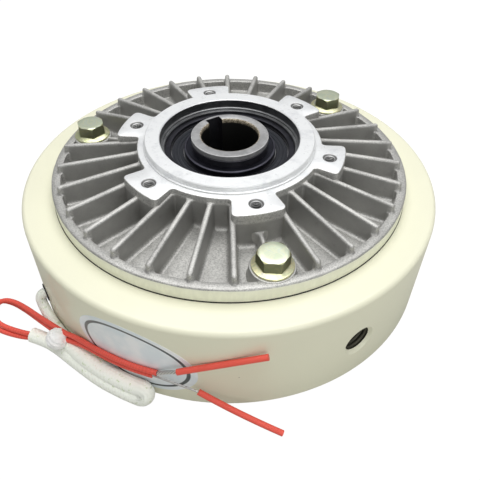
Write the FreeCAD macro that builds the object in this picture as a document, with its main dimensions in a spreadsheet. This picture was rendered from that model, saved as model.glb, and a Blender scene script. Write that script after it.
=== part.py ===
"""Magnetic powder brake with a hollow keyed shaft, built as a parametric document.

The brake lies on its rear face. Z is the shaft axis and points out of the finned front cover.
The origin is the middle of the rear face. All lengths are in millimetres, all angles in degrees.
"""
import FreeCAD
import Part
import math
import os
import Sketcher

# Driving dimensions. Heights called "level" are measured up from the rear face of the yoke.
SIZES = {
    # Yoke: the painted magnet body with its coil pocket and its two pole faces
    "body_radius": 109.5,
    "body_length": 53.0,
    "body_edge_round": 2.5,
    "body_wall": 15.5,
    "magnet_width": 39.5,
    "front_pole_thickness": 11.0,
    "rear_pole_thickness": 7.0,
    "pole_lip_width": 4.0,
    "pole_lip_length": 6.0,
    "cover_rebate_edge": 20.5,
    "cover_rebate_depth": 3.0,
    "rear_rebate_edge": 8.5,
    "rear_rebate_depth": 7.0,
    "eye_hole_angle": 289.8,
    "eye_hole_level": 24.5,
    "eye_hole_radius": 7.0,
    "eye_hole_depth": 13.0,
    "eye_hole_chamfer": 1.5,
    "lead_hole_angle": 197.0,
    "lead_hole_level": 17.0,
    "lead_hole_radius": 4.0,
    # General fits between fixed pieces
    "spigot_clearance": 0.05,
    "seat_clearance": 0.1,
    "coil_clearance": 0.3,
    "cut_margin": 1.0,
    # Front cover casting
    "cover_edge": 16.7,
    "cover_flange_height": 8.0,
    "cover_edge_chamfer": 0.4,
    "rim_width": 4.8,
    "cover_floor_height": 2.0,
    "hub_radius": 48.0,
    "hub_height": 19.8,
    "hub_tube_radius": 42.0,
    "hub_tube_drop": 10.0,
    "pilot_radius": 44.0,
    "pilot_height": 3.8,
    "pilot_chamfer": 0.5,
    "pilot_root_step": 0.6,
    "pilot_root_height": 0.8,
    "hub_opening_step": 2.2,
    "hub_opening_depth": 5.6,
    "pad_count": 6,
    "pad_radius": 60.0,
    "pad_angle": 25.2,
    "pad_round": 2.5,
    "pad_hole_circle_radius": 52.5,
    "pad_hole_radius": 2.5,
    "pad_hole_depth": 14.0,
    "pad_hole_chamfer": 1.1,
    "fins_between_bolts": 9,
    "fin_pitch": 12.0,
    "fin_width": 2.8,
    "fin_inner_radius": 46.0,
    "fin_end_overlap": 0.4,
    "fin_inner_height": 15.4,
    "fin_slope": 0.11,
    "fin_root_depth": 0.5,
    "stub_inner_radius": 58.0,
    "stub_overlap": 1.5,
    "stub_width": 3.0,
    "stub_height": 7.5,
    # Cover bolts: hexagon heads with a flange, on bosses in the casting
    "bolt_count": 3,
    "bolt_circle_edge": 28.5,
    "boss_radius": 10.5,
    "boss_height": 8.4,
    "bolt_shank_radius": 4.0,
    "bolt_length": 19.0,
    "bolt_flange_radius": 9.0,
    "bolt_flange_height": 1.6,
    "bolt_head_height": 7.9,
    "bolt_across_flats": 13.0,
    "bolt_head_chamfer": 0.7,
    "bolt_hole_clearance": 0.5,
    "thread_clearance": 0.02,
    "hole_end_gap": 1.0,
    # Rear cover casting
    "rear_cover_setback": 1.0,
    "rear_rim_width": 11.0,
    "rear_floor_level": 4.0,
    "rear_spigot_length": 3.0,
    "rear_tube_level": 30.0,
    "rear_fin_count": 24,
    "rear_fin_width": 3.0,
    "rear_screw_count": 6,
    "rear_screw_circle_edge": 12.0,
    "rear_screw_radius": 1.5,
    "rear_screw_head_radius": 2.9,
    "rear_screw_head_height": 1.4,
    "rear_screw_length": 12.0,
    "rear_screw_hole_clearance": 0.2,
    # Two sealed deep-groove ball bearings, 40 x 68 x 15
    "bearing_bore_radius": 20.0,
    "bearing_outer_radius": 34.0,
    "bearing_width": 15.0,
    "inner_land_drop": 2.5998,
    "outer_land_rise": 2.7006,
    "ball_radius": 3.96998,
    "ball_count": 12,
    "ball_clearance": 0.08,
    "pocket_clearance": 0.13,
    "cage_half_thickness": 1.6002,
    "cage_half_width": 5.2,
    "seal_seat_depth": 0.7994,
    "seal_thickness": 1.2,
    "seal_lip_clearance": 0.1,
    "rear_bearing_level": 6.0,
    "front_bearing_drop": 1.0,
    "shoulder_step": 2.5,
    "shoulder_width": 2.0,
    # Retaining rings
    "housing_groove_step": 1.5,
    "housing_ring_thickness": 2.5,
    "housing_ring_reach": 3.0,
    "shaft_groove_radius": 18.75,
    "shaft_ring_thickness": 1.75,
    "shaft_ring_outer_radius": 23.0,
    "ring_side_clearance": 0.1,
    "ring_gap_half_width": 5.0,
    "ring_ear_radius": 2.6,
    "ring_ear_hole_radius": 1.25,
    # Felt powder seals inside the bearings
    "felt_outer_radius": 28.0,
    "felt_width": 5.0,
    "felt_lip_radius": 24.0,
    "felt_bore_clearance": 0.08,
    # Hollow shaft
    "shaft_bore_radius": 15.0,
    "shaft_setback": 1.0,
    "shaft_projection": 0.2,
    "shaft_end_chamfer": 0.8,
    "shaft_land_radius": 22.0,
    "shaft_flange_radius": 37.0,
    "shaft_flange_level": 31.5,
    "shaft_flange_thickness": 5.0,
    "key_width": 8.0,
    "key_reach": 18.3,
    "key_angle": 108.0,
    "collar_radius": 24.0,
    "collar_height": 3.2,
    # Rotor drum
    "powder_gap": 1.5,
    "drum_forward_shift": 3.5,
    "drum_rim_width": 10.5,
    "drum_rim_length": 36.0,
    "drum_web_thickness": 5.0,
    "drum_seat_clearance": 0.02,
    "drum_screw_count": 6,
    "drum_screw_circle_radius": 30.0,
    "drum_screw_radius": 2.5,
    "drum_screw_head_radius": 4.6,
    "drum_screw_head_height": 2.4,
    "drum_screw_length": 8.0,
    "drum_screw_hole_clearance": 0.25,
    "powder_clearance": 0.35,
    "powder_length": 32.0,
    # Coil
    "bobbin_wall": 1.5,
    "winding_margin": 1.5,
    # Lead-out
    "grommet_lip_radius": 4.8,
    "grommet_lip_thickness": 0.6,
    "sleeve_radius": 2.9,
    "lead_radius": 1.3,
    "bare_end_radius": 0.8,
    "strand_radius": 0.5,
    "stripped_end_radius": 1.45,
    "tie_radius": 5.2,
    "tie_clearance": 0.05,
}

# Routes of the lead-out, each point as distance from the shaft axis, angle round it and height
SLEEVE_ROUTE = [
    (110.1, 197.0, 17.0), (113.5, 197.0, 17.0), (116.0, 197.6, 15.0), (116.3, 199.1, 11.9),
    (114.9, 201.4, 9.5), (113.3, 204.9, 8.5), (112.9, 209.3, 8.3), (112.8, 216.5, 8.2),
    (112.8, 224.5, 8.2), (112.8, 228.8, 8.2), (112.9, 231.6, 8.6), (113.1, 233.9, 9.3),
    (113.1, 236.4, 9.6), (113.9, 237.5, 8.3), (115.3, 237.9, 6.2), (116.7, 237.5, 4.2),
    (117.6, 236.4, 2.95), (117.2, 233.9, 2.95), (116.2, 231.4, 2.95), (115.5, 228.0, 2.95),
    (115.4, 222.0, 2.95), (115.4, 215.6, 2.95), (116.6, 210.2, 2.95), (119.6, 205.7, 2.95),
    (123.8, 202.6, 2.95),
]
UPPER_LEAD_ROUTE = [
    (123.8, 202.6, 4.3), (127.0, 201.0, 4.1), (131.2, 198.2, 3.4), (134.2, 194.2, 2.95),
    (132.8, 190.6, 3.4), (128.0, 189.6, 5.2), (122.9, 191.9, 8.2), (120.7, 196.4, 10.0),
    (120.0, 201.2, 11.0), (118.3, 205.2, 12.5), (115.7, 208.7, 13.9), (113.0, 212.0, 15.6),
    (111.4, 215.8, 17.2), (111.1, 220.0, 18.7), (111.1, 225.0, 20.0), (111.1, 230.2, 20.5),
    (111.1, 235.4, 20.8), (111.1, 239.9, 21.4),
]
LOWER_LEAD_ROUTE = [
    (123.8, 202.6, 1.6), (127.6, 201.3, 1.4), (132.4, 198.9, 1.35), (136.2, 195.2, 1.35),
    (136.2, 190.9, 1.4), (131.6, 187.8, 2.0), (125.0, 188.9, 3.5), (121.2, 193.6, 5.8),
    (119.9, 199.2, 8.0), (118.6, 204.2, 9.2), (117.0, 208.2, 10.9), (114.7, 211.6, 12.3),
    (112.2, 215.4, 13.7), (111.2, 219.6, 15.7), (111.1, 224.0, 16.9), (111.1, 229.0, 17.5),
    (111.1, 234.0, 17.8), (111.1, 238.6, 18.4),
]
UPPER_STRAND_ROUTE = [(111.1, 239.9, 21.4), (111.6, 242.4, 25.0), (112.8, 245.2, 28.5)]
LOWER_STRAND_ROUTE = [(111.1, 238.6, 18.4), (111.8, 244.0, 17.4), (112.9, 249.7, 15.2)]
UPPER_STRIPPED_ROUTE = [(112.8, 245.2, 28.5), (112.8, 265.0, 41.0)]
LOWER_STRIPPED_ROUTE = [(112.9, 249.7, 15.2), (118.7, 258.3, 8.0), (127.1, 267.5, 1.45)]
TIE_PLACE = (116.0, 207.6, 7.4)

SHEET = "Sizes"
FULL_TURN = 360.0
HEXAGON_SIDES = 6
ARC_SHARE = 0.45
CORD_VOLUME_TOLERANCE = 0.02

document = FreeCAD.newDocument("powder_brake")


class Size:
    """A number together with the formula of sheet cells that gives it."""

    def __init__(self, number, formula):
        self.number = float(number)
        self.formula = formula

    def __add__(self, other):
        other = as_size(other)
        return Size(self.number + other.number, f"({self.formula} + {other.formula})")

    def __sub__(self, other):
        other = as_size(other)
        return Size(self.number - other.number, f"({self.formula} - {other.formula})")

    def __mul__(self, other):
        other = as_size(other)
        return Size(self.number * other.number, f"({self.formula} * {other.formula})")

    def __truediv__(self, other):
        other = as_size(other)
        return Size(self.number / other.number, f"({self.formula} / {other.formula})")

    def __radd__(self, other):
        return as_size(other) + self

    def __rsub__(self, other):
        return as_size(other) - self

    def __rmul__(self, other):
        return as_size(other) * self

    def __rtruediv__(self, other):
        return as_size(other) / self

    def __neg__(self):
        return as_size(0) - self


def as_size(value):
    """A plain number as a Size, and a Size as it is."""
    if isinstance(value, Size):
        return value
    return Size(value, repr(float(value)))


def cosine(angle):
    return Size(math.cos(math.radians(angle.number)), f"cos({angle.formula})")


def sine(angle):
    return Size(math.sin(math.radians(angle.number)), f"sin({angle.formula})")


class Dimensions:
    """The sheet of driving dimensions, read as attributes: each gives its Size."""

    def __init__(self, values):
        self._sheet = document.addObject("Spreadsheet::Sheet", SHEET)
        for row, (name, value) in enumerate(values.items(), start=1):
            self._sheet.set(f"A{row}", name)
            self._sheet.set(f"B{row}", str(value))
            self._sheet.setAlias(f"B{row}", name)
        document.recompute()

    def __getattr__(self, name):
        return Size(self._sheet.get(name), f"{SHEET}.{name}")


D = Dimensions(SIZES)

# Radii that several pieces share: those of the body and the covers follow its outside
POLE_BORE_RADIUS = D.body_radius - D.magnet_width
COIL_POCKET_RADIUS = D.body_radius - D.body_wall
COVER_REBATE_RADIUS = D.body_radius - D.cover_rebate_edge
REAR_REBATE_RADIUS = D.body_radius - D.rear_rebate_edge
REAR_RIM_RADIUS = REAR_REBATE_RADIUS - D.rear_rim_width
COVER_RADIUS = D.body_radius - D.cover_edge
RIM_INNER_RADIUS = COVER_RADIUS - D.rim_width
BOLT_CIRCLE_RADIUS = D.body_radius - D.bolt_circle_edge
REAR_SCREW_CIRCLE_RADIUS = D.body_radius - D.rear_screw_circle_edge
DRUM_RADIUS = POLE_BORE_RADIUS - D.powder_gap

# Radii inside a bearing, set from the circle of the balls' middles, half way between bore and outside
PITCH_RADIUS = (D.bearing_outer_radius + D.bearing_bore_radius) / 2
INNER_LAND_RADIUS = PITCH_RADIUS - D.inner_land_drop
OUTER_LAND_RADIUS = PITCH_RADIUS + D.outer_land_rise
SEAL_SEAT_RADIUS = OUTER_LAND_RADIUS + D.seal_seat_depth
CAGE_INNER_RADIUS = PITCH_RADIUS - D.cage_half_thickness
CAGE_OUTER_RADIUS = PITCH_RADIUS + D.cage_half_thickness

# Radii of the bearing seats in both covers, which follow the bearing's outside
SHOULDER_RADIUS = D.bearing_outer_radius - D.shoulder_step
HOUSING_GROOVE_RADIUS = D.bearing_outer_radius + D.housing_groove_step
HOUSING_RING_RADIUS = D.bearing_outer_radius - D.housing_ring_reach
HUB_OPENING_RADIUS = D.bearing_outer_radius + D.hub_opening_step

# Levels that several pieces share, each worked out from the driving dimensions
FRONT_FACE = D.body_length
REBATE_FLOOR = FRONT_FACE - D.cover_rebate_depth
POCKET_FRONT = REBATE_FLOOR - D.front_pole_thickness
POCKET_REAR = D.rear_rebate_depth + D.rear_pole_thickness
LIP_OUTER_RADIUS = POLE_BORE_RADIUS + D.pole_lip_width
FRONT_LIP_LEVEL = POCKET_FRONT - D.pole_lip_length
REAR_LIP_LEVEL = POCKET_REAR + D.pole_lip_length
CASTING_FLOOR = FRONT_FACE + D.cover_floor_height
RIM_TOP = FRONT_FACE + D.cover_flange_height
MOUNTING_FACE = FRONT_FACE + D.hub_height
PILOT_FACE = MOUNTING_FACE + D.pilot_height
HUB_TUBE_END = FRONT_FACE - D.hub_tube_drop
BOSS_TOP = FRONT_FACE + D.boss_height
BOLT_TIP = BOSS_TOP - D.bolt_length
FRONT_BEARING = FRONT_FACE - D.front_bearing_drop
FRONT_BEARING_FACE = FRONT_BEARING + D.bearing_width
REAR_BEARING = D.rear_bearing_level
REAR_BEARING_FACE = REAR_BEARING + D.bearing_width
GROOVE_WIDTH = D.housing_ring_thickness + D.ring_side_clearance
SHAFT_END = PILOT_FACE + D.shaft_projection
DRUM_SEAT = D.shaft_flange_level + D.shaft_flange_thickness
DRUM_WEB_TOP = DRUM_SEAT + D.drum_web_thickness
DRUM_MIDDLE = (FRONT_LIP_LEVEL + REAR_LIP_LEVEL) / 2 + D.drum_forward_shift
POLE_RING_RADIUS = COIL_POCKET_RADIUS - D.spigot_clearance
FRONT_BOLT_ANGLE = -90.0


def new_body(name):
    """An empty piece with its own name."""
    body = document.addObject("PartDesign::Body", name)
    body.Label = name
    return body


def origin_feature(body, role):
    """One of a piece's own origin planes or axes, found by its role."""
    for feature in body.Origin.OriginFeatures:
        if feature.Role == role:
            return feature
    raise LookupError(role)


# The axis that a sketch turns about so that it turns round the shaft axis, in its plane's own terms
TURN_AXIS = {
    "XY_Plane": FreeCAD.Vector(0, 0, 1),
    "XZ_Plane": FreeCAD.Vector(0, 1, 0),
    "YZ_Plane": FreeCAD.Vector(0, 1, 0),
}


def new_sketch(body, name, plane, offset=(0, 0, 0), turn=0):
    """A sketch on one of the piece's origin planes, shifted by sizes and turned round the shaft axis."""
    sketch = body.newObject("Sketcher::SketchObject", f"{body.Name}_{name}")
    sketch.AttachmentSupport = (origin_feature(body, plane), [""])
    sketch.MapMode = "FlatFace"
    offset = [as_size(value) for value in offset]
    turn = as_size(turn)
    base = FreeCAD.Vector(*(value.number for value in offset))
    rotation = FreeCAD.Rotation(TURN_AXIS[plane], turn.number)
    sketch.AttachmentOffset = FreeCAD.Placement(base, rotation)
    for axis, value in zip("xyz", offset):
        sketch.setExpression(f"AttachmentOffset.Base.{axis}", value.formula)
    if turn.number:
        sketch.setExpression("AttachmentOffset.Rotation.Angle", turn.formula)
    return sketch


def hold_along(sketch, geometry, end, kind, size):
    """Hold a point of a sketch at a distance from its origin, across or up."""
    size = as_size(size)
    index = sketch.addConstraint(Sketcher.Constraint(kind, -1, 1, geometry, end, size.number))
    sketch.setExpression(f"Constraints[{index}]", size.formula)


def hold(sketch, geometry, end, x, y):
    """Hold a point of a sketch at a place given by two sizes."""
    hold_along(sketch, geometry, end, "DistanceX", x)
    hold_along(sketch, geometry, end, "DistanceY", y)


def vector(x, y):
    return FreeCAD.Vector(as_size(x).number, as_size(y).number, 0)


def outline(sketch, points):
    """A closed outline of straight lines through the points."""
    count = len(points)
    first = sketch.GeometryCount
    for index, point in enumerate(points):
        following = points[(index + 1) % count]
        sketch.addGeometry(Part.LineSegment(vector(*point), vector(*following)), False)
    for index, point in enumerate(points):
        following = first + (index + 1) % count
        sketch.addConstraint(Sketcher.Constraint("Coincident", first + index, 2, following, 1))
        hold(sketch, first + index, 1, *point)
    return sketch


def circle(sketch, x, y, radius):
    """A circle of the given radius about a place given by two sizes."""
    radius = as_size(radius)
    shape = Part.Circle(vector(x, y), FreeCAD.Vector(0, 0, 1), radius.number)
    geometry = sketch.addGeometry(shape, False)
    hold(sketch, geometry, 3, x, y)
    index = sketch.addConstraint(Sketcher.Constraint("Radius", geometry, radius.number))
    sketch.setExpression(f"Constraints[{index}]", radius.formula)
    return sketch


def half_disc(sketch, radius):
    """Half a disc on the sketch's own vertical axis, which turns into a ball."""
    ring = Part.Circle(FreeCAD.Vector(0, 0, 0), FreeCAD.Vector(0, 0, 1), radius.number)
    arc = sketch.addGeometry(Part.ArcOfCircle(ring, -math.pi / 2, math.pi / 2), False)
    chord = sketch.addGeometry(Part.LineSegment(vector(0, radius), vector(0, -radius)), False)
    sketch.addConstraint(Sketcher.Constraint("Coincident", arc, 2, chord, 1))
    sketch.addConstraint(Sketcher.Constraint("Coincident", chord, 2, arc, 1))
    sketch.addConstraint(Sketcher.Constraint("Coincident", arc, 3, -1, 1))
    hold(sketch, arc, 2, 0, radius)
    sketch.addConstraint(Sketcher.Constraint("PointOnObject", arc, 1, -2))
    return sketch


def bullet(sketch, half_width, base, top, whole):
    """A fin's section: straight sides and a round top. With whole false, only its right half."""
    spring = top - half_width
    centre = FreeCAD.Vector(0, spring.number, 0)
    ring = Part.Circle(centre, FreeCAD.Vector(0, 0, 1), half_width.number)
    left = -half_width if whole else as_size(0)
    end_angle = math.pi if whole else math.pi / 2
    crown_end = (left, spring) if whole else (left, top)
    bottom = sketch.addGeometry(Part.LineSegment(vector(left, base), vector(half_width, base)), False)
    right = sketch.addGeometry(Part.LineSegment(vector(half_width, base), vector(half_width, spring)), False)
    crown = sketch.addGeometry(Part.ArcOfCircle(ring, 0, end_angle), False)
    side = sketch.addGeometry(Part.LineSegment(vector(*crown_end), vector(left, base)), False)
    for one, other in ((bottom, right), (right, crown), (crown, side), (side, bottom)):
        sketch.addConstraint(Sketcher.Constraint("Coincident", one, 2, other, 1))
    hold(sketch, bottom, 1, left, base)
    hold(sketch, bottom, 2, half_width, base)
    hold(sketch, right, 2, half_width, spring)
    hold(sketch, crown, 2, *crown_end)
    hold_along(sketch, crown, 3, "DistanceY", spring)
    return sketch


def feature(body, kind, name, sketch):
    """A feature made from a sketch, which becomes the piece's tip."""
    made = body.newObject(f"PartDesign::{kind}", f"{body.Name}_{name}")
    made.Profile = sketch
    return made


def turn_about(body, kind, name, sketch, axis="V_Axis", angle=FULL_TURN):
    """A Revolution or Groove about one of the sketch's own axes, half to each side of it."""
    made = feature(body, kind, name, sketch)
    made.ReferenceAxis = (sketch, [axis])
    angle = as_size(angle)
    made.Angle = angle.number
    made.setExpression("Angle", angle.formula)
    made.Midplane = angle.number < FULL_TURN
    return made


def turned(name, points):
    """A piece turned about the shaft axis from its half section, given as radius and level."""
    body = new_body(name)
    turn_about(body, "Revolution", "turning", outline(new_sketch(body, "section", "XZ_Plane"), points))
    return body


def upright_section(body, name, circle_radius, points):
    """The half section of a screw or hole whose axis stands on a circle, in front of the shaft."""
    return outline(new_sketch(body, f"{name}_section", "YZ_Plane", (-circle_radius, 0, 0)), points)


def raised(body, name, sketch, height):
    """A pad that rises from its sketch by a size."""
    made = feature(body, "Pad", name, sketch)
    made.setExpression("Length", height.formula)
    return made


def sunk(body, name, sketch, depth, upward=False):
    """A pocket that goes down from its sketch by a size, or up from it."""
    made = feature(body, "Pocket", name, sketch)
    made.setExpression("Length", depth.formula)
    made.Reversed = upward
    return made


def repeated(body, name, features, count, angle=None):
    """The features again and again round the shaft axis, over a full turn or over an angle."""
    pattern = body.newObject("PartDesign::PolarPattern", f"{body.Name}_{name}")
    pattern.Originals = features
    pattern.Axis = (origin_feature(body, "Z_Axis"), [""])
    pattern.setExpression("Occurrences", count.formula)
    pattern.Angle = FULL_TURN
    if angle is not None:
        pattern.setExpression("Angle", angle.formula)
    body.Tip = pattern
    return pattern


def dressed(body, kind, name, size, wanted):
    """A Fillet or Chamfer on those edges of the piece so far that are wanted."""
    document.recompute()
    base = body.Tip
    edges = [f"Edge{number}" for number, edge in enumerate(base.Shape.Edges, start=1) if wanted(edge)]
    made = body.newObject(f"PartDesign::{kind}", f"{body.Name}_{name}")
    made.Base = (base, edges)
    made.setExpression("Radius" if kind == "Fillet" else "Size", size.formula)
    body.Tip = made
    return made


def near(value, size):
    """Whether a measured value is a size, to a thousandth."""
    return abs(value - as_size(size).number) < 1e-3


def is_round_edge(edge, radius, level):
    """Whether an edge is a circle of this radius, at this level."""
    curve = edge.Curve
    return isinstance(curve, Part.Circle) and near(curve.Radius, radius) and near(curve.Center.z, level)


def is_upright_edge(edge, radius):
    """Whether an edge is a straight upright line at this distance from the shaft axis."""
    if not isinstance(edge.Curve, Part.Line):
        return False
    ends = [vertex.Point for vertex in edge.Vertexes]
    distances = [math.hypot(end.x, end.y) for end in ends]
    upright = abs(ends[0].x - ends[1].x) < 1e-6 and abs(ends[0].y - ends[1].y) < 1e-6
    return upright and all(near(distance, radius) for distance in distances)


def stator_yoke():
    """The cast magnet body: outer wall, front pole, coil pocket and a rebate for each cover."""
    body = turned("stator_yoke", [
        (POLE_BORE_RADIUS, FRONT_LIP_LEVEL),
        (POLE_BORE_RADIUS, REBATE_FLOOR),
        (COVER_REBATE_RADIUS, REBATE_FLOOR),
        (COVER_REBATE_RADIUS, FRONT_FACE),
        (D.body_radius, FRONT_FACE),
        (D.body_radius, 0),
        (REAR_REBATE_RADIUS, 0),
        (REAR_REBATE_RADIUS, D.rear_rebate_depth),
        (COIL_POCKET_RADIUS, D.rear_rebate_depth),
        (COIL_POCKET_RADIUS, POCKET_FRONT),
        (LIP_OUTER_RADIUS, POCKET_FRONT),
        (LIP_OUTER_RADIUS, FRONT_LIP_LEVEL),
    ])
    dressed(body, "Fillet", "edge_round", D.body_edge_round,
            lambda edge: is_round_edge(edge, D.body_radius, FRONT_FACE))
    bolt_radius = D.bolt_shank_radius + D.thread_clearance
    bolts = new_sketch(body, "bolt_hole_sketch", "XY_Plane", (0, 0, REBATE_FLOOR))
    circle(bolts, 0, -BOLT_CIRCLE_RADIUS, bolt_radius)
    hole = sunk(body, "bolt_hole", bolts, REBATE_FLOOR - BOLT_TIP + D.hole_end_gap)
    repeated(body, "bolt_holes", [hole], D.bolt_count)
    screws = new_sketch(body, "screw_hole_sketch", "XY_Plane", (0, 0, D.rear_rebate_depth))
    circle(screws, 0, -REAR_SCREW_CIRCLE_RADIUS, D.rear_screw_radius + D.thread_clearance)
    depth = D.rear_cover_setback + D.rear_screw_length - D.rear_rebate_depth + D.hole_end_gap
    hole = sunk(body, "screw_hole", screws, depth, upward=True)
    repeated(body, "screw_holes", [hole], D.rear_screw_count)
    eye_bolt_hole(body)
    leads = new_sketch(body, "lead_hole_sketch", "XZ_Plane", (0, D.lead_hole_level, 0), D.lead_hole_angle)
    outline(leads, [
        (COIL_POCKET_RADIUS - D.cut_margin, 0),
        (D.body_radius + D.cut_margin, 0),
        (D.body_radius + D.cut_margin, D.lead_hole_radius),
        (COIL_POCKET_RADIUS - D.cut_margin, D.lead_hole_radius),
    ])
    turn_about(body, "Groove", "lead_hole", leads, "H_Axis")


def eye_bolt_hole(body):
    """The blind tapped hole in the side wall, with its chamfered mouth."""
    section = new_sketch(body, "eye_hole_sketch", "XZ_Plane", (0, D.eye_hole_level, 0), D.eye_hole_angle)
    mouth = D.eye_hole_radius + D.eye_hole_chamfer
    outline(section, [
        (D.body_radius - D.eye_hole_depth, 0),
        (D.body_radius + D.cut_margin, 0),
        (D.body_radius + D.cut_margin, mouth),
        (D.body_radius, mouth),
        (D.body_radius - D.eye_hole_chamfer, D.eye_hole_radius),
        (D.body_radius - D.eye_hole_depth, D.eye_hole_radius),
    ])
    turn_about(body, "Groove", "eye_hole", section, "H_Axis")


def pole_rings():
    """The rear pole that closes the coil pocket, and the non-magnetic ring between the poles."""
    turned("rear_pole_ring", [
        (POLE_BORE_RADIUS, D.rear_rebate_depth),
        (POLE_RING_RADIUS, D.rear_rebate_depth),
        (POLE_RING_RADIUS, POCKET_REAR),
        (LIP_OUTER_RADIUS, POCKET_REAR),
        (LIP_OUTER_RADIUS, REAR_LIP_LEVEL),
        (POLE_BORE_RADIUS, REAR_LIP_LEVEL),
    ])
    turned("pole_spacer_ring", [
        (POLE_BORE_RADIUS, REAR_LIP_LEVEL),
        (LIP_OUTER_RADIUS, REAR_LIP_LEVEL),
        (LIP_OUTER_RADIUS, FRONT_LIP_LEVEL),
        (POLE_BORE_RADIUS, FRONT_LIP_LEVEL),
    ])


def coil():
    """The bobbin in the coil pocket, and the winding on it."""
    inner = LIP_OUTER_RADIUS + D.coil_clearance
    outer = COIL_POCKET_RADIUS - D.coil_clearance
    rear = POCKET_REAR + D.coil_clearance
    front = POCKET_FRONT - D.coil_clearance
    drum = inner + D.bobbin_wall
    winding_radius = COIL_POCKET_RADIUS - D.winding_margin
    turned("coil_bobbin", [
        (inner, rear),
        (outer, rear),
        (outer, rear + D.bobbin_wall),
        (drum, rear + D.bobbin_wall),
        (drum, front - D.bobbin_wall),
        (outer, front - D.bobbin_wall),
        (outer, front),
        (inner, front),
    ])
    turned("coil_winding", [
        (drum + D.seat_clearance, rear + D.bobbin_wall + D.seat_clearance),
        (winding_radius, rear + D.bobbin_wall + D.seat_clearance),
        (winding_radius, front - D.bobbin_wall - D.seat_clearance),
        (drum + D.seat_clearance, front - D.bobbin_wall - D.seat_clearance),
    ])


def front_cover():
    """The finned front casting with its machined star-shaped mounting face and bearing seat."""
    spigot = COVER_REBATE_RADIUS - D.spigot_clearance
    underside = REBATE_FLOOR + D.seat_clearance
    felt_inner_end = FRONT_BEARING - D.shoulder_width
    felt_outer_end = felt_inner_end - D.felt_width
    root = D.pilot_radius + D.pilot_root_step
    body = turned("front_cover", [
        (D.felt_lip_radius, HUB_TUBE_END),
        (D.hub_tube_radius, HUB_TUBE_END),
        (D.hub_tube_radius, underside),
        (spigot, underside),
        (spigot, FRONT_FACE),
        (COVER_RADIUS, FRONT_FACE),
        (COVER_RADIUS, RIM_TOP - D.cover_edge_chamfer),
        (COVER_RADIUS - D.cover_edge_chamfer, RIM_TOP),
        (RIM_INNER_RADIUS, RIM_TOP),
        (RIM_INNER_RADIUS, CASTING_FLOOR),
        (D.hub_radius, CASTING_FLOOR),
        (D.hub_radius, MOUNTING_FACE),
        (root, MOUNTING_FACE),
        (root, MOUNTING_FACE + D.pilot_root_height),
        (D.pilot_radius, MOUNTING_FACE + D.pilot_root_height),
        (D.pilot_radius, PILOT_FACE - D.pilot_chamfer),
        (D.pilot_radius - D.pilot_chamfer, PILOT_FACE),
        (HUB_OPENING_RADIUS, PILOT_FACE),
        (HUB_OPENING_RADIUS, PILOT_FACE - D.hub_opening_depth),
        (D.bearing_outer_radius, PILOT_FACE - D.hub_opening_depth),
        (D.bearing_outer_radius, FRONT_BEARING_FACE + GROOVE_WIDTH),
        (HOUSING_GROOVE_RADIUS, FRONT_BEARING_FACE + GROOVE_WIDTH),
        (HOUSING_GROOVE_RADIUS, FRONT_BEARING_FACE),
        (D.bearing_outer_radius, FRONT_BEARING_FACE),
        (D.bearing_outer_radius, FRONT_BEARING),
        (SHOULDER_RADIUS, FRONT_BEARING),
        (SHOULDER_RADIUS, felt_inner_end),
        (D.felt_outer_radius, felt_inner_end),
        (D.felt_outer_radius, felt_outer_end),
        (D.felt_lip_radius, felt_outer_end),
    ])
    mounting_pads(body)
    fins(body)
    bolt_bosses(body)
    drilling(body)


def mounting_pads(body):
    """Six raised pads round the hub, with rounded corners and roots."""
    section = new_sketch(body, "pad_section", "YZ_Plane")
    outline(section, [
        (D.hub_tube_radius, CASTING_FLOOR - D.cover_floor_height),
        (D.pad_radius, CASTING_FLOOR - D.cover_floor_height),
        (D.pad_radius, MOUNTING_FACE),
        (D.hub_tube_radius, MOUNTING_FACE),
    ])
    pad = turn_about(body, "Revolution", "pad", section, angle=D.pad_angle)
    repeated(body, "pads", [pad], D.pad_count)
    dressed(body, "Fillet", "pad_rounds", D.pad_round,
            lambda edge: is_upright_edge(edge, D.pad_radius) or is_upright_edge(edge, D.hub_radius))


def fins(body):
    """Radial cooling fins from the hub to the rim, in groups between the bolts, with round ends."""
    root_level = CASTING_FLOOR - D.fin_root_depth
    top_level = CASTING_FLOOR + D.fin_inner_height
    outer_radius = RIM_INNER_RADIUS + D.fin_end_overlap
    length = outer_radius - D.fin_inner_radius
    end_drop = length * D.fin_slope
    half_width = D.fin_width / 2
    group_angle = (D.fins_between_bolts - 1) * D.fin_pitch
    for group in range(int(D.bolt_count.number)):
        angle = FRONT_BOLT_ANGLE + D.fin_pitch + FULL_TURN / D.bolt_count * group
        start = (D.fin_inner_radius * sine(angle), 0, D.fin_inner_radius * cosine(angle))
        section = new_sketch(body, f"fin_section_{group}", "YZ_Plane", start, angle)
        bullet(section, half_width, CASTING_FLOOR, top_level, whole=True)
        fin = raised(body, f"fin_{group}", section, length)
        fin.UseCustomVector = True
        fin.AlongSketchNormal = True
        slant = {"x": cosine(angle), "y": sine(angle), "z": -D.fin_slope}
        fin.Direction = FreeCAD.Vector(*(value.number for value in slant.values()))
        for axis, value in slant.items():
            fin.setExpression(f"Direction.{axis}", value.formula)
        end = (outer_radius * sine(angle), 0, outer_radius * cosine(angle))
        end_section = new_sketch(body, f"fin_end_section_{group}", "YZ_Plane", end, angle)
        bullet(end_section, half_width, root_level, top_level - end_drop, whole=False)
        fin_end = turn_about(body, "Revolution", f"fin_end_{group}", end_section)
        repeated(body, f"fins_{group}", [fin, fin_end], D.fins_between_bolts, group_angle)


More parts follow.
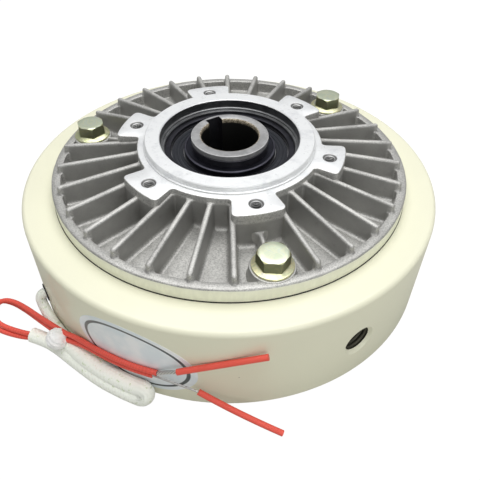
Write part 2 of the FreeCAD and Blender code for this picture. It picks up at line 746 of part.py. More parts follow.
def bolt_bosses(body):
    """A round boss for each cover bolt, and the short rib that ties it to the pad behind it."""
    foot = FRONT_FACE
    plan = new_sketch(body, "boss_sketch", "XY_Plane", (0, 0, foot))
    circle(plan, 0, -BOLT_CIRCLE_RADIUS, D.boss_radius)
    boss = raised(body, "boss", plan, BOSS_TOP - foot)
    rib_end = BOLT_CIRCLE_RADIUS - D.boss_radius + D.stub_overlap
    rib_plan = new_sketch(body, "stub_rib_sketch", "XY_Plane", (0, 0, foot))
    outline(rib_plan, [
        (-D.stub_width / 2, -rib_end),
        (D.stub_width / 2, -rib_end),
        (D.stub_width / 2, -D.stub_inner_radius),
        (-D.stub_width / 2, -D.stub_inner_radius),
    ])
    rib = raised(body, "stub_rib", rib_plan, D.cover_floor_height + D.stub_height)
    repeated(body, "bosses", [boss, rib], D.bolt_count)


def drilling(body):
    """The bolt holes through the bosses and the tapped holes in the pads."""
    clearance_radius = D.bolt_shank_radius + D.bolt_hole_clearance
    through = new_sketch(body, "bolt_hole_sketch", "XY_Plane", (0, 0, BOSS_TOP))
    circle(through, 0, -BOLT_CIRCLE_RADIUS, clearance_radius)
    hole = sunk(body, "bolt_hole", through, BOSS_TOP - REBATE_FLOOR)
    repeated(body, "bolt_holes", [hole], D.bolt_count)
    tapped = upright_section(body, "pad_hole", D.pad_hole_circle_radius, [
        (0, MOUNTING_FACE),
        (D.pad_hole_radius + D.pad_hole_chamfer, MOUNTING_FACE),
        (D.pad_hole_radius, MOUNTING_FACE - D.pad_hole_chamfer),
        (D.pad_hole_radius, MOUNTING_FACE - D.pad_hole_depth),
        (0, MOUNTING_FACE - D.pad_hole_depth),
    ])
    hole = turn_about(body, "Groove", "pad_hole", tapped)
    repeated(body, "pad_holes", [hole], D.pad_count)


def hexagon(across_flats):
    """Corners of a hexagon about the place of the front cover bolt."""
    half_side = FULL_TURN / (2 * HEXAGON_SIDES)
    corner = across_flats / 2 / cosine(as_size(half_side))
    angles = [as_size((2 * side + 1) * half_side) for side in range(HEXAGON_SIDES)]
    return [(corner * cosine(angle), corner * sine(angle) - BOLT_CIRCLE_RADIUS) for angle in angles]


def cover_bolts():
    """Hexagon flange bolts that hold the front cover to the yoke."""
    body = new_body("cover_bolts")
    head_top = BOSS_TOP + D.bolt_head_height
    waist = D.bolt_across_flats / 2
    section = upright_section(body, "shank", BOLT_CIRCLE_RADIUS, [
        (0, BOLT_TIP),
        (D.bolt_shank_radius, BOLT_TIP),
        (D.bolt_shank_radius, BOSS_TOP),
        (D.bolt_flange_radius, BOSS_TOP),
        (D.bolt_flange_radius, BOSS_TOP + D.bolt_flange_height / 2),
        (waist, BOSS_TOP + D.bolt_flange_height),
        (waist, head_top),
        (0, head_top),
    ])
    shank = turn_about(body, "Revolution", "shank", section)
    plan = new_sketch(body, "head_sketch", "XY_Plane", (0, 0, BOSS_TOP + D.bolt_flange_height / 2))
    outline(plan, hexagon(D.bolt_across_flats))
    height = D.bolt_head_height - D.bolt_flange_height / 2 - D.bolt_head_chamfer
    head = raised(body, "head", plan, height)
    repeated(body, "bolts", [shank, head], D.bolt_count)


def rear_cover():
    """The rear casting, set just inside the yoke's rear face, with shallow cooling ribs."""
    felt_inner_end = REAR_BEARING_FACE + D.shoulder_width
    felt_outer_end = felt_inner_end + D.felt_width
    groove_rear = REAR_BEARING - GROOVE_WIDTH
    body = turned("rear_cover", [
        (D.felt_lip_radius, D.rear_tube_level),
        (D.felt_lip_radius, felt_outer_end),
        (D.felt_outer_radius, felt_outer_end),
        (D.felt_outer_radius, felt_inner_end),
        (SHOULDER_RADIUS, felt_inner_end),
        (SHOULDER_RADIUS, REAR_BEARING_FACE),
        (D.bearing_outer_radius, REAR_BEARING_FACE),
        (D.bearing_outer_radius, REAR_BEARING),
        (HOUSING_GROOVE_RADIUS, REAR_BEARING),
        (HOUSING_GROOVE_RADIUS, groove_rear),
        (D.bearing_outer_radius, groove_rear),
        (D.bearing_outer_radius, D.rear_cover_setback),
        (D.hub_tube_radius, D.rear_cover_setback),
        (D.hub_tube_radius, D.rear_floor_level),
        (REAR_RIM_RADIUS, D.rear_floor_level),
        (REAR_RIM_RADIUS, D.rear_cover_setback),
        (REAR_REBATE_RADIUS - D.spigot_clearance, D.rear_cover_setback),
        (REAR_REBATE_RADIUS - D.spigot_clearance, D.rear_rebate_depth),
        (POLE_BORE_RADIUS - D.spigot_clearance, D.rear_rebate_depth),
        (POLE_BORE_RADIUS - D.spigot_clearance, D.rear_rebate_depth + D.rear_spigot_length),
        (D.hub_tube_radius, D.rear_rebate_depth + D.rear_spigot_length),
        (D.hub_tube_radius, D.rear_tube_level),
    ])
    rib_plan = new_sketch(body, "rib_sketch", "XY_Plane", (0, 0, D.rear_cover_setback))
    outline(rib_plan, [
        (D.hub_tube_radius - D.cut_margin, -D.rear_fin_width / 2),
        (REAR_RIM_RADIUS + D.cut_margin, -D.rear_fin_width / 2),
        (REAR_RIM_RADIUS + D.cut_margin, D.rear_fin_width / 2),
        (D.hub_tube_radius - D.cut_margin, D.rear_fin_width / 2),
    ])
    rib = raised(body, "rib", rib_plan, D.rear_floor_level - D.rear_cover_setback + D.cut_margin)
    repeated(body, "ribs", [rib], D.rear_fin_count)
    wide = D.rear_screw_head_radius + D.rear_screw_hole_clearance
    narrow = D.rear_screw_radius + D.rear_screw_hole_clearance
    section = upright_section(body, "screw_hole", REAR_SCREW_CIRCLE_RADIUS, [
        (0, D.rear_cover_setback),
        (wide, D.rear_cover_setback),
        (narrow, D.rear_cover_setback + D.rear_screw_head_height),
        (narrow, D.rear_rebate_depth + D.cut_margin),
        (0, D.rear_rebate_depth + D.cut_margin),
    ])
    hole = turn_about(body, "Groove", "screw_hole", section)
    repeated(body, "screw_holes", [hole], D.rear_screw_count)


def countersunk_screws(name, circle_radius, shank_radius, head, ends, count):
    """Countersunk screws on a circle: head gives radius and height, ends the head's and tip's level."""
    head_radius, head_height = head
    head_level, tip_level = ends
    body = new_body(name)
    section = upright_section(body, "screw", circle_radius, [
        (0, head_level),
        (head_radius, head_level),
        (shank_radius, head_height),
        (shank_radius, tip_level),
        (0, tip_level),
    ])
    screw = turn_about(body, "Revolution", "screw", section)
    repeated(body, "screws", [screw], count)


def rear_cover_screws():
    """Countersunk screws that hold the rear cover to the yoke."""
    face = D.rear_cover_setback
    countersunk_screws(
        "rear_cover_screws", REAR_SCREW_CIRCLE_RADIUS, D.rear_screw_radius,
        (D.rear_screw_head_radius, face + D.rear_screw_head_height),
        (face, face + D.rear_screw_length), D.rear_screw_count)


def ball_bearing(side, level):
    """A sealed deep-groove bearing whose rear face is at the level: rings, balls, cage and seals."""
    front = level + D.bearing_width
    middle = level + D.bearing_width / 2
    seal_rear = level + D.seal_thickness
    seal_front = front - D.seal_thickness
    inner = turned(f"{side}_bearing_inner_ring", [
        (D.bearing_bore_radius, level),
        (INNER_LAND_RADIUS, level),
        (INNER_LAND_RADIUS, front),
        (D.bearing_bore_radius, front),
    ])
    outer = turned(f"{side}_bearing_outer_ring", [
        (SEAL_SEAT_RADIUS, level),
        (D.bearing_outer_radius, level),
        (D.bearing_outer_radius, front),
        (SEAL_SEAT_RADIUS, front),
        (SEAL_SEAT_RADIUS, seal_front),
        (OUTER_LAND_RADIUS, seal_front),
        (OUTER_LAND_RADIUS, seal_rear),
        (SEAL_SEAT_RADIUS, seal_rear),
    ])
    for ring in (inner, outer):
        track = new_sketch(ring, "track_sketch", "XZ_Plane")
        circle(track, PITCH_RADIUS, middle, D.ball_radius + D.ball_clearance)
        turn_about(ring, "Groove", "track", track)
    balls = new_body(f"{side}_bearing_balls")
    ball_place = (0, middle, PITCH_RADIUS)
    ball_sketch = half_disc(new_sketch(balls, "ball_sketch", "YZ_Plane", ball_place), D.ball_radius)
    ball = turn_about(balls, "Revolution", "ball", ball_sketch)
    repeated(balls, "balls", [ball], D.ball_count)
    cage = turned(f"{side}_bearing_cage", [
        (CAGE_INNER_RADIUS, middle - D.cage_half_width),
        (CAGE_OUTER_RADIUS, middle - D.cage_half_width),
        (CAGE_OUTER_RADIUS, middle + D.cage_half_width),
        (CAGE_INNER_RADIUS, middle + D.cage_half_width),
    ])
    pocket_radius = D.ball_radius + D.pocket_clearance
    pocket_section = new_sketch(cage, "pocket_section", "XZ_Plane", (0, middle, 0))
    outline(pocket_section, [
        (CAGE_INNER_RADIUS - D.cut_margin, 0),
        (CAGE_OUTER_RADIUS + D.cut_margin, 0),
        (CAGE_OUTER_RADIUS + D.cut_margin, pocket_radius),
        (CAGE_INNER_RADIUS - D.cut_margin, pocket_radius),
    ])
    pocket = turn_about(cage, "Groove", "pocket", pocket_section, "H_Axis")
    repeated(cage, "pockets", [pocket], D.ball_count)
    bearing_seals(side, level, front)


def bearing_seals(side, level, front):
    """The two rubber seals of a bearing, one at each face."""
    lip = INNER_LAND_RADIUS + D.seal_lip_clearance
    body = new_body(f"{side}_bearing_seals")
    for name, low in (("rear", level), ("front", front - D.seal_thickness)):
        section = new_sketch(body, f"{name}_section", "XZ_Plane")
        outline(section, [
            (lip, low),
            (SEAL_SEAT_RADIUS, low),
            (SEAL_SEAT_RADIUS, low + D.seal_thickness),
            (lip, low + D.seal_thickness),
        ])
        turn_about(body, "Revolution", f"{name}_seal", section)


def felt_seal(side, level):
    """The felt ring that keeps powder out of a bearing."""
    inner = D.shaft_land_radius + D.felt_bore_clearance
    turned(f"{side}_powder_seal", [
        (inner, level),
        (D.felt_outer_radius, level),
        (D.felt_outer_radius, level + D.felt_width),
        (inner, level + D.felt_width),
    ])


def retaining_ring(name, level, thickness, radii, ear_place):
    """A sprung retaining ring with an open gap at the front and a drilled ear each side of it."""
    inner_radius, outer_radius = radii
    body = new_body(name)
    plan = new_sketch(body, "ring_sketch", "XY_Plane", (0, 0, level))
    circle(plan, 0, 0, outer_radius)
    circle(plan, 0, 0, inner_radius)
    raised(body, "ring", plan, thickness)
    side = D.ring_gap_half_width + D.ring_ear_radius
    ears = new_sketch(body, "ear_sketch", "XY_Plane", (0, 0, level))
    circle(ears, side, -ear_place, D.ring_ear_radius)
    circle(ears, -side, -ear_place, D.ring_ear_radius)
    raised(body, "ears", ears, thickness)
    gap = new_sketch(body, "gap_sketch", "XY_Plane", (0, 0, level + thickness))
    gap_end = D.cut_margin - inner_radius + D.ring_ear_radius * 2
    outline(gap, [
        (-D.ring_gap_half_width, -outer_radius - D.cut_margin),
        (D.ring_gap_half_width, -outer_radius - D.cut_margin),
        (D.ring_gap_half_width, gap_end),
        (-D.ring_gap_half_width, gap_end),
    ])
    sunk(body, "gap", gap, thickness)
    holes = new_sketch(body, "ear_hole_sketch", "XY_Plane", (0, 0, level + thickness))
    circle(holes, side, -ear_place, D.ring_ear_hole_radius)
    circle(holes, -side, -ear_place, D.ring_ear_hole_radius)
    sunk(body, "ear_holes", holes, thickness)


def retaining_rings():
    """The rings that hold the bearings in the covers, and the rear one on the shaft."""
    housing_radii = (HOUSING_RING_RADIUS, HOUSING_GROOVE_RADIUS - D.spigot_clearance)
    housing_ears = HOUSING_RING_RADIUS - D.ring_ear_radius / 2
    thickness = D.housing_ring_thickness
    retaining_ring("front_retaining_ring", FRONT_BEARING_FACE, thickness, housing_radii, housing_ears)
    rear_level = REAR_BEARING - thickness
    retaining_ring("rear_retaining_ring", rear_level, thickness, housing_radii, housing_ears)
    shaft_radii = (D.shaft_groove_radius + D.spigot_clearance, D.shaft_ring_outer_radius)
    shaft_ears = D.shaft_ring_outer_radius
    thickness = D.shaft_ring_thickness
    retaining_ring("shaft_retaining_ring", REAR_BEARING - thickness, thickness, shaft_radii, shaft_ears)


def hollow_shaft():
    """The keyed hollow shaft with its bearing journals and the flange that carries the drum."""
    groove_rear = REAR_BEARING - D.shaft_ring_thickness - D.ring_side_clearance
    rear_end = D.shaft_setback
    chamfer = D.shaft_end_chamfer
    body = turned("hollow_shaft", [
        (D.shaft_bore_radius + chamfer, rear_end),
        (D.bearing_bore_radius - chamfer, rear_end),
        (D.bearing_bore_radius, rear_end + chamfer),
        (D.bearing_bore_radius, groove_rear),
        (D.shaft_groove_radius, groove_rear),
        (D.shaft_groove_radius, REAR_BEARING),
        (D.bearing_bore_radius, REAR_BEARING),
        (D.bearing_bore_radius, REAR_BEARING_FACE),
        (D.shaft_land_radius, REAR_BEARING_FACE),
        (D.shaft_land_radius, D.shaft_flange_level),
        (D.shaft_flange_radius, D.shaft_flange_level),
        (D.shaft_flange_radius, DRUM_SEAT),
        (D.shaft_land_radius, DRUM_SEAT),
        (D.shaft_land_radius, FRONT_BEARING),
        (D.bearing_bore_radius, FRONT_BEARING),
        (D.bearing_bore_radius, SHAFT_END - chamfer / 2),
        (D.bearing_bore_radius - chamfer / 2, SHAFT_END),
        (D.shaft_bore_radius + chamfer, SHAFT_END),
        (D.shaft_bore_radius, SHAFT_END - chamfer),
        (D.shaft_bore_radius, rear_end + chamfer),
    ])
    tapped = new_sketch(body, "screw_hole_sketch", "XY_Plane", (0, 0, DRUM_SEAT))
    circle(tapped, 0, -D.drum_screw_circle_radius, D.drum_screw_radius + D.thread_clearance)
    depth = D.drum_screw_length - D.drum_web_thickness + D.hole_end_gap
    hole = sunk(body, "screw_hole", tapped, depth)
    repeated(body, "screw_holes", [hole], D.drum_screw_count)
    keyway = new_sketch(body, "keyway_sketch", "XY_Plane", (0, 0, SHAFT_END), D.key_angle)
    outline(keyway, [
        (0, -D.key_width / 2),
        (D.key_reach, -D.key_width / 2),
        (D.key_reach, D.key_width / 2),
        (0, D.key_width / 2),
    ])
    sunk(body, "keyway", keyway, SHAFT_END - rear_end)


def shaft_collar():
    """The collar on the front journal, between the bearing and the shaft's end."""
    turned("shaft_collar", [
        (D.bearing_bore_radius, FRONT_BEARING_FACE),
        (D.collar_radius, FRONT_BEARING_FACE),
        (D.collar_radius, FRONT_BEARING_FACE + D.collar_height),
        (D.bearing_bore_radius, FRONT_BEARING_FACE + D.collar_height),
    ])


def rotor_drum():
    """The drum whose rim runs in the powder gap, and the screws that hold it to the shaft."""
    seat = D.shaft_land_radius + D.drum_seat_clearance
    rim_inner = DRUM_RADIUS - D.drum_rim_width
    rim_rear = DRUM_MIDDLE - D.drum_rim_length / 2
    rim_front = DRUM_MIDDLE + D.drum_rim_length / 2
    body = turned("rotor_drum", [
        (seat, DRUM_SEAT),
        (rim_inner, DRUM_SEAT),
        (rim_inner, rim_rear),
        (DRUM_RADIUS, rim_rear),
        (DRUM_RADIUS, rim_front),
        (rim_inner, rim_front),
        (rim_inner, DRUM_WEB_TOP),
        (seat, DRUM_WEB_TOP),
    ])
    narrow = D.drum_screw_radius + D.drum_screw_hole_clearance
    wide = D.drum_screw_head_radius + D.drum_screw_hole_clearance
    section = upright_section(body, "screw_hole", D.drum_screw_circle_radius, [
        (0, DRUM_WEB_TOP),
        (wide, DRUM_WEB_TOP),
        (narrow, DRUM_WEB_TOP - D.drum_screw_head_height),
        (narrow, DRUM_SEAT - D.cut_margin),
        (0, DRUM_SEAT - D.cut_margin),
    ])
    hole = turn_about(body, "Groove", "screw_hole", section)
    repeated(body, "screw_holes", [hole], D.drum_screw_count)
    countersunk_screws(
        "rotor_screws", D.drum_screw_circle_radius, D.drum_screw_radius,
        (D.drum_screw_head_radius, DRUM_WEB_TOP - D.drum_screw_head_height),
        (DRUM_WEB_TOP, DRUM_WEB_TOP - D.drum_screw_length), D.drum_screw_count)


def magnetic_powder():
    """The ring of powder that fills the gap between the drum and the poles."""
    inner = DRUM_RADIUS + D.powder_clearance
    outer = POLE_BORE_RADIUS - D.powder_clearance
    turned("magnetic_powder", [
        (inner, DRUM_MIDDLE - D.powder_length / 2),
        (outer, DRUM_MIDDLE - D.powder_length / 2),
        (outer, DRUM_MIDDLE + D.powder_length / 2),
        (inner, DRUM_MIDDLE + D.powder_length / 2),
    ])


def lead_grommet():
    """The rubber bush that fills the lead hole, with a lip outside."""
    body = new_body("lead_grommet")
    section = new_sketch(body, "section", "XZ_Plane", (0, D.lead_hole_level, 0), D.lead_hole_angle)
    plug = D.lead_hole_radius - D.spigot_clearance
    outline(section, [
        (COIL_POCKET_RADIUS + D.coil_clearance, 0),
        (D.body_radius + D.grommet_lip_thickness, 0),
        (D.body_radius + D.grommet_lip_thickness, D.grommet_lip_radius),
        (D.body_radius, D.grommet_lip_radius),
        (D.body_radius, plug),
        (COIL_POCKET_RADIUS + D.coil_clearance, plug),
    ])
    turn_about(body, "Revolution", "bush", section, "H_Axis")


def place(point):
    """A route's point as a vector."""
    radius, angle, height = point
    turn = math.radians(angle)
    return FreeCAD.Vector(radius * math.cos(turn), radius * math.sin(turn), height)


def cord_path(name, route):
    """Straight runs through the route's points, joined by tangent arcs as large as the runs allow."""
    points = [place(point) for point in route]
    edges = []
    radii = []
    start = points[0]
    for before, corner, after in zip(points, points[1:], points[2:]):
        back = before - corner
        onward = after - corner
        shorter = min(back.Length, onward.Length)
        back.normalize()
        onward.normalize()
        half_turn = (math.pi - back.getAngle(onward)) / 2
        reach = ARC_SHARE * shorter
        radius = reach / math.tan(half_turn)
        radii.append(round(radius, 1))
        arc_start = corner + back * reach
        arc_end = corner + onward * reach
        inward = back + onward
        inward.normalize()
        arc_middle = corner + inward * (radius / math.cos(half_turn) - radius)
        edges.append(Part.LineSegment(start, arc_start).toShape())
        edges.append(Part.Arc(arc_start, arc_middle, arc_end).toShape())
        start = arc_end
    edges.append(Part.LineSegment(start, points[-1]).toShape())
    path = Part.Wire(edges)
    print(f"{name}: length {path.Length:.1f}, bend radii {radii}")
    return path


def tube(path, radius):
    """A round tube along a path."""
    start = path.Edges[0]
    ahead = start.tangentAt(start.FirstParameter)
    ring = Part.Wire(Part.Circle(start.Vertexes[0].Point, ahead, radius).toShape())
    return path.makePipeShell([ring], True, False)


def free_piece(name, shape):
    """A document object that holds a shape made without features."""
    piece = document.addObject("Part::Feature", name)
    piece.Label = name
    piece.Shape = shape
    piece.Placement = FreeCAD.Placement()
    return piece


def cord(name, route, size, against=()):
    """A tube along a route, ending flush against the pieces that it comes out of."""
    path = cord_path(name, route)
    shape = tube(path, size.number)
    for piece in against:
        shape = shape.cut(piece.Shape)
    shape = max(shape.Solids, key=lambda solid: solid.Volume)
    expected = math.pi * size.number ** 2 * path.Length
    if abs(shape.Volume / expected - 1) > CORD_VOLUME_TOLERANCE:
        raise ValueError(f"{name}: volume {shape.Volume:.1f}, expected {expected:.1f}")
    return path, free_piece(name, shape)


def leads():
    """The sleeve that lies folded against the body, the two leads out of it and their stripped ends."""
    sleeve_path, sleeve = cord("lead_sleeve", SLEEVE_ROUTE, D.sleeve_radius)
    upper_path, upper = cord("upper_lead", UPPER_LEAD_ROUTE, D.lead_radius, [sleeve])
    lower_path, lower = cord("lower_lead", LOWER_LEAD_ROUTE, D.lead_radius, [sleeve, upper])
    upper_end = cord("upper_stripped_end", UPPER_STRIPPED_ROUTE, D.stripped_end_radius)[1]
    lower_end = cord("lower_stripped_end", LOWER_STRIPPED_ROUTE, D.stripped_end_radius)[1]
    cord("upper_strand", UPPER_STRAND_ROUTE, D.bare_end_radius, [upper, upper_end])
    cord("lower_strand", LOWER_STRAND_ROUTE, D.strand_radius, [lower, lower_end])
    channels = ((sleeve_path, D.sleeve_radius), (upper_path, D.lead_radius), (lower_path, D.lead_radius))
    knot = Part.makeSphere(D.tie_radius.number, place(TIE_PLACE))
    for path, size in channels:
        knot = knot.cut(tube(path, (size + D.tie_clearance).number))
    free_piece("lead_tie", max(knot.Solids, key=lambda solid: solid.Volume))


def build():
    """Every piece, from the yoke inwards and then the lead-out."""
    stator_yoke()
    pole_rings()
    coil()
    front_cover()
    cover_bolts()
    rear_cover()
    rear_cover_screws()
    ball_bearing("front", FRONT_BEARING)
    ball_bearing("rear", REAR_BEARING)
    felt_seal("front", FRONT_BEARING - D.shoulder_width - D.felt_width)
    felt_seal("rear", REAR_BEARING_FACE + D.shoulder_width)
    retaining_rings()
    hollow_shaft()
    shaft_collar()
    rotor_drum()
    magnetic_powder()
    lead_grommet()
    leads()


def check():
    """Every object in order, and every piece with a sound shape."""
    document.recompute()
    for item in document.Objects:
        if "Invalid" in item.State or "Error" in item.State:
            raise ValueError(f"{item.Name}: {item.State}")
    found = [item for item in document.Objects if item.TypeId in ("PartDesign::Body", "Part::Feature")]
    for piece in found:
        if piece.Shape.isNull() or not piece.Shape.isValid() or not piece.Shape.Solids:
            raise ValueError(f"{piece.Label}: no sound shape")
    return found


def write(pieces):
    """One file for each piece, named by its label."""
    os.makedirs("parts", exist_ok=True)
    for piece in pieces:
        piece.Shape.exportStep(f"parts/{piece.Label}.step")
        solids = len(piece.Shape.Solids)
        print(f"{piece.Label}: {solids} solids, {piece.Shape.Volume / 1000:.2f} cm3")


build()
write(check())
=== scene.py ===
"""Looks of a magnetic powder brake: painted ring body, finned cast cover, hollow keyed shaft, folded leads.

Lengths in this file are millimetres unless a name says otherwise, and become metres in each mesh.
The brake lies on its rear face, its shaft axis is Z, and the front bolt is towards -Y.
"""

import math

import bmesh
import bpy
from mathutils import Matrix, Vector


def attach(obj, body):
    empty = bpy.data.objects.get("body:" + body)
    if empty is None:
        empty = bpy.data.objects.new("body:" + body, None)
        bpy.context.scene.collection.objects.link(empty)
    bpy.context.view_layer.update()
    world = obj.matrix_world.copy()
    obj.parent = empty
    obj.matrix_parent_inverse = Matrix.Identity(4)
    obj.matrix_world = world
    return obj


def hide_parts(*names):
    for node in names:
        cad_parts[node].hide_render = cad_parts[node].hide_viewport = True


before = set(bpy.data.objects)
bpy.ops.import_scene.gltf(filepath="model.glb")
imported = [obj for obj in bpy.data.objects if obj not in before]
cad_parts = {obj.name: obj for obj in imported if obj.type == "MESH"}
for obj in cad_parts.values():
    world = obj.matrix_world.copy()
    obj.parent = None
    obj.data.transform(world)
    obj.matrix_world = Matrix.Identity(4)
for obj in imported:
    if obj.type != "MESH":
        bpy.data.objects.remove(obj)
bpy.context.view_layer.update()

bl_info = {
    "name": "Magnetic powder brake",
    "version": (1, 0, 0),
    "blender": (4, 5, 0),
    "location": "3D View > Sidebar > Powder brake",
    "description": "Builds the finished look of a hollow-shaft magnetic powder brake",
    "category": "Object",
}

MM = 0.001
PER_METRE = 1000.0
ROUND_STEPS = 256
CREASE = 32.0

# The body, and the holes in its wall.
BODY_RADIUS = 109.5
BODY_TOP = 53.0
EYE_HOLE_ANGLE, EYE_HOLE_LEVEL = 289.8, 24.5
LEAD_HOLE_ANGLE, LEAD_HOLE_LEVEL = 197.0, 17.0

# The front cover: its bolts, star of pads, fins, rim and levels.
FRONT_BOLT_ANGLE = -90.0
BOLT_PITCH = 120.0
BOLT_ANGLES = tuple(FRONT_BOLT_ANGLE + BOLT_PITCH * step for step in range(3))
BOLT_TURNS = (-107.6, -84.4, -56.6)
BOLT_CIRCLE = 81.0
PAD_PITCH = 60.0
PAD_ANGLES = tuple(FRONT_BOLT_ANGLE + PAD_PITCH * step for step in range(6))
PAD_HALF_ANGLE = 12.6
PAD_HOLE_CIRCLE = 52.5
STAR_BORE = 44.3
STAR_ROOT = 48.0
STAR_REACH = 60.0
FIN_PITCH = 12.0
FINS_IN_GROUP = 9
FIN_ANGLES = tuple(
    bolt + FIN_PITCH * step for bolt in BOLT_ANGLES for step in range(1, FINS_IN_GROUP + 1))
FIN_START = 46.0
FIN_END = 88.3
CROWN_ROUND = 1.25
RIM_INSIDE = 88.0
RIM_OUTSIDE = 92.8
RIM_TOP = 61.0
FLOOR_LEVEL = 55.0
SUNK_LEVEL = FLOOR_LEVEL - 0.6
BOSS_TOP = 61.4
PAD_TOP = 72.8
PILOT_TOP = 76.6

# The shaft's keyway and the rear cover.
KEY_ANGLE = 108.0
REAR_FACE = 1.0
REAR_SCREW_CIRCLE = 97.5
REAR_RIBS = 24


class BrakeSizes(bpy.types.PropertyGroup):
    """Sizes that change the look without changing what the brake fits."""

    fin_thickness: bpy.props.FloatProperty(
        name="Fin thickness", description="Thickness of a cooling fin at its round top",
        default=0.0028, min=0.001, unit="LENGTH", precision=4)
    fin_root_thickness: bpy.props.FloatProperty(
        name="Fin root thickness", description="Thickness of a cooling fin where its root starts",
        default=0.0032, min=0.001, unit="LENGTH", precision=4)
    casting_round: bpy.props.FloatProperty(
        name="Casting round", description="Radius where the fins, pads and bosses meet the floor",
        default=0.0018, min=0.0002, unit="LENGTH", precision=4)
    bolt_across_flats: bpy.props.FloatProperty(
        name="Bolt across flats", description="Width of the cover bolts' hexagon heads",
        default=0.0134, min=0.005, unit="LENGTH", precision=4)
    lead_diameter: bpy.props.FloatProperty(
        name="Lead diameter", description="Outside diameter of each red lead",
        default=0.0026, min=0.001, unit="LENGTH", precision=4)
    sleeve_diameter: bpy.props.FloatProperty(
        name="Sleeve diameter", description="Outside diameter of the woven sleeve",
        default=0.0058, min=0.002, unit="LENGTH", precision=4)


class BrakeColours(bpy.types.PropertyGroup):
    """Colours of the finishes."""

    body_paint: bpy.props.FloatVectorProperty(
        name="Body paint", description="Enamel on the ring-shaped body",
        default=(0.82, 0.81, 0.63), size=3, min=0, max=1, subtype="COLOR")
    casting: bpy.props.FloatVectorProperty(
        name="Casting", description="Bare die-cast aluminium of the covers",
        default=(0.56, 0.555, 0.53), size=3, min=0, max=1, subtype="COLOR")
    machined: bpy.props.FloatVectorProperty(
        name="Machined faces", description="Turned and milled faces of the front cover",
        default=(0.90, 0.91, 0.91), size=3, min=0, max=1, subtype="COLOR")
    zinc: bpy.props.FloatVectorProperty(
        name="Bolt plating", description="Yellow zinc plate on the bolts",
        default=(0.62, 0.63, 0.42), size=3, min=0, max=1, subtype="COLOR")
    lead: bpy.props.FloatVectorProperty(
        name="Leads", description="Silicone insulation of the two leads",
        default=(0.74, 0.085, 0.055), size=3, min=0, max=1, subtype="COLOR")


class Field:
    """A number that varies over a surface. Arithmetic on it adds Math nodes."""

    def __init__(self, paint, socket):
        self.paint = paint
        self.socket = socket

    def _with(self, operation, *values):
        node = self.paint.add("ShaderNodeMath", {"operation": operation}, dict(enumerate(values)))
        return Field(self.paint, node.outputs[0])

    def __add__(self, other):
        return self._with("ADD", self, other)

    def __sub__(self, other):
        return self._with("SUBTRACT", self, other)

    def __rsub__(self, other):
        return self._with("SUBTRACT", other, self)

    def __mul__(self, other):
        return self._with("MULTIPLY", self, other)

    def __pow__(self, other):
        return self._with("POWER", self, other)

    __radd__ = __add__
    __rmul__ = __mul__

    def wave(self):
        """A sine wave that runs between 0 and 1."""
        return self._with("SINE", self) * 0.5 + 0.5

    def within(self, low, high):
        """0 below low, 1 above high, and smooth between."""
        node = self.paint.add("ShaderNodeMapRange", {"interpolation_type": "SMOOTHSTEP"}, {
            "Value": self, "From Min": low, "From Max": high})
        return Field(self.paint, node.outputs["Result"])


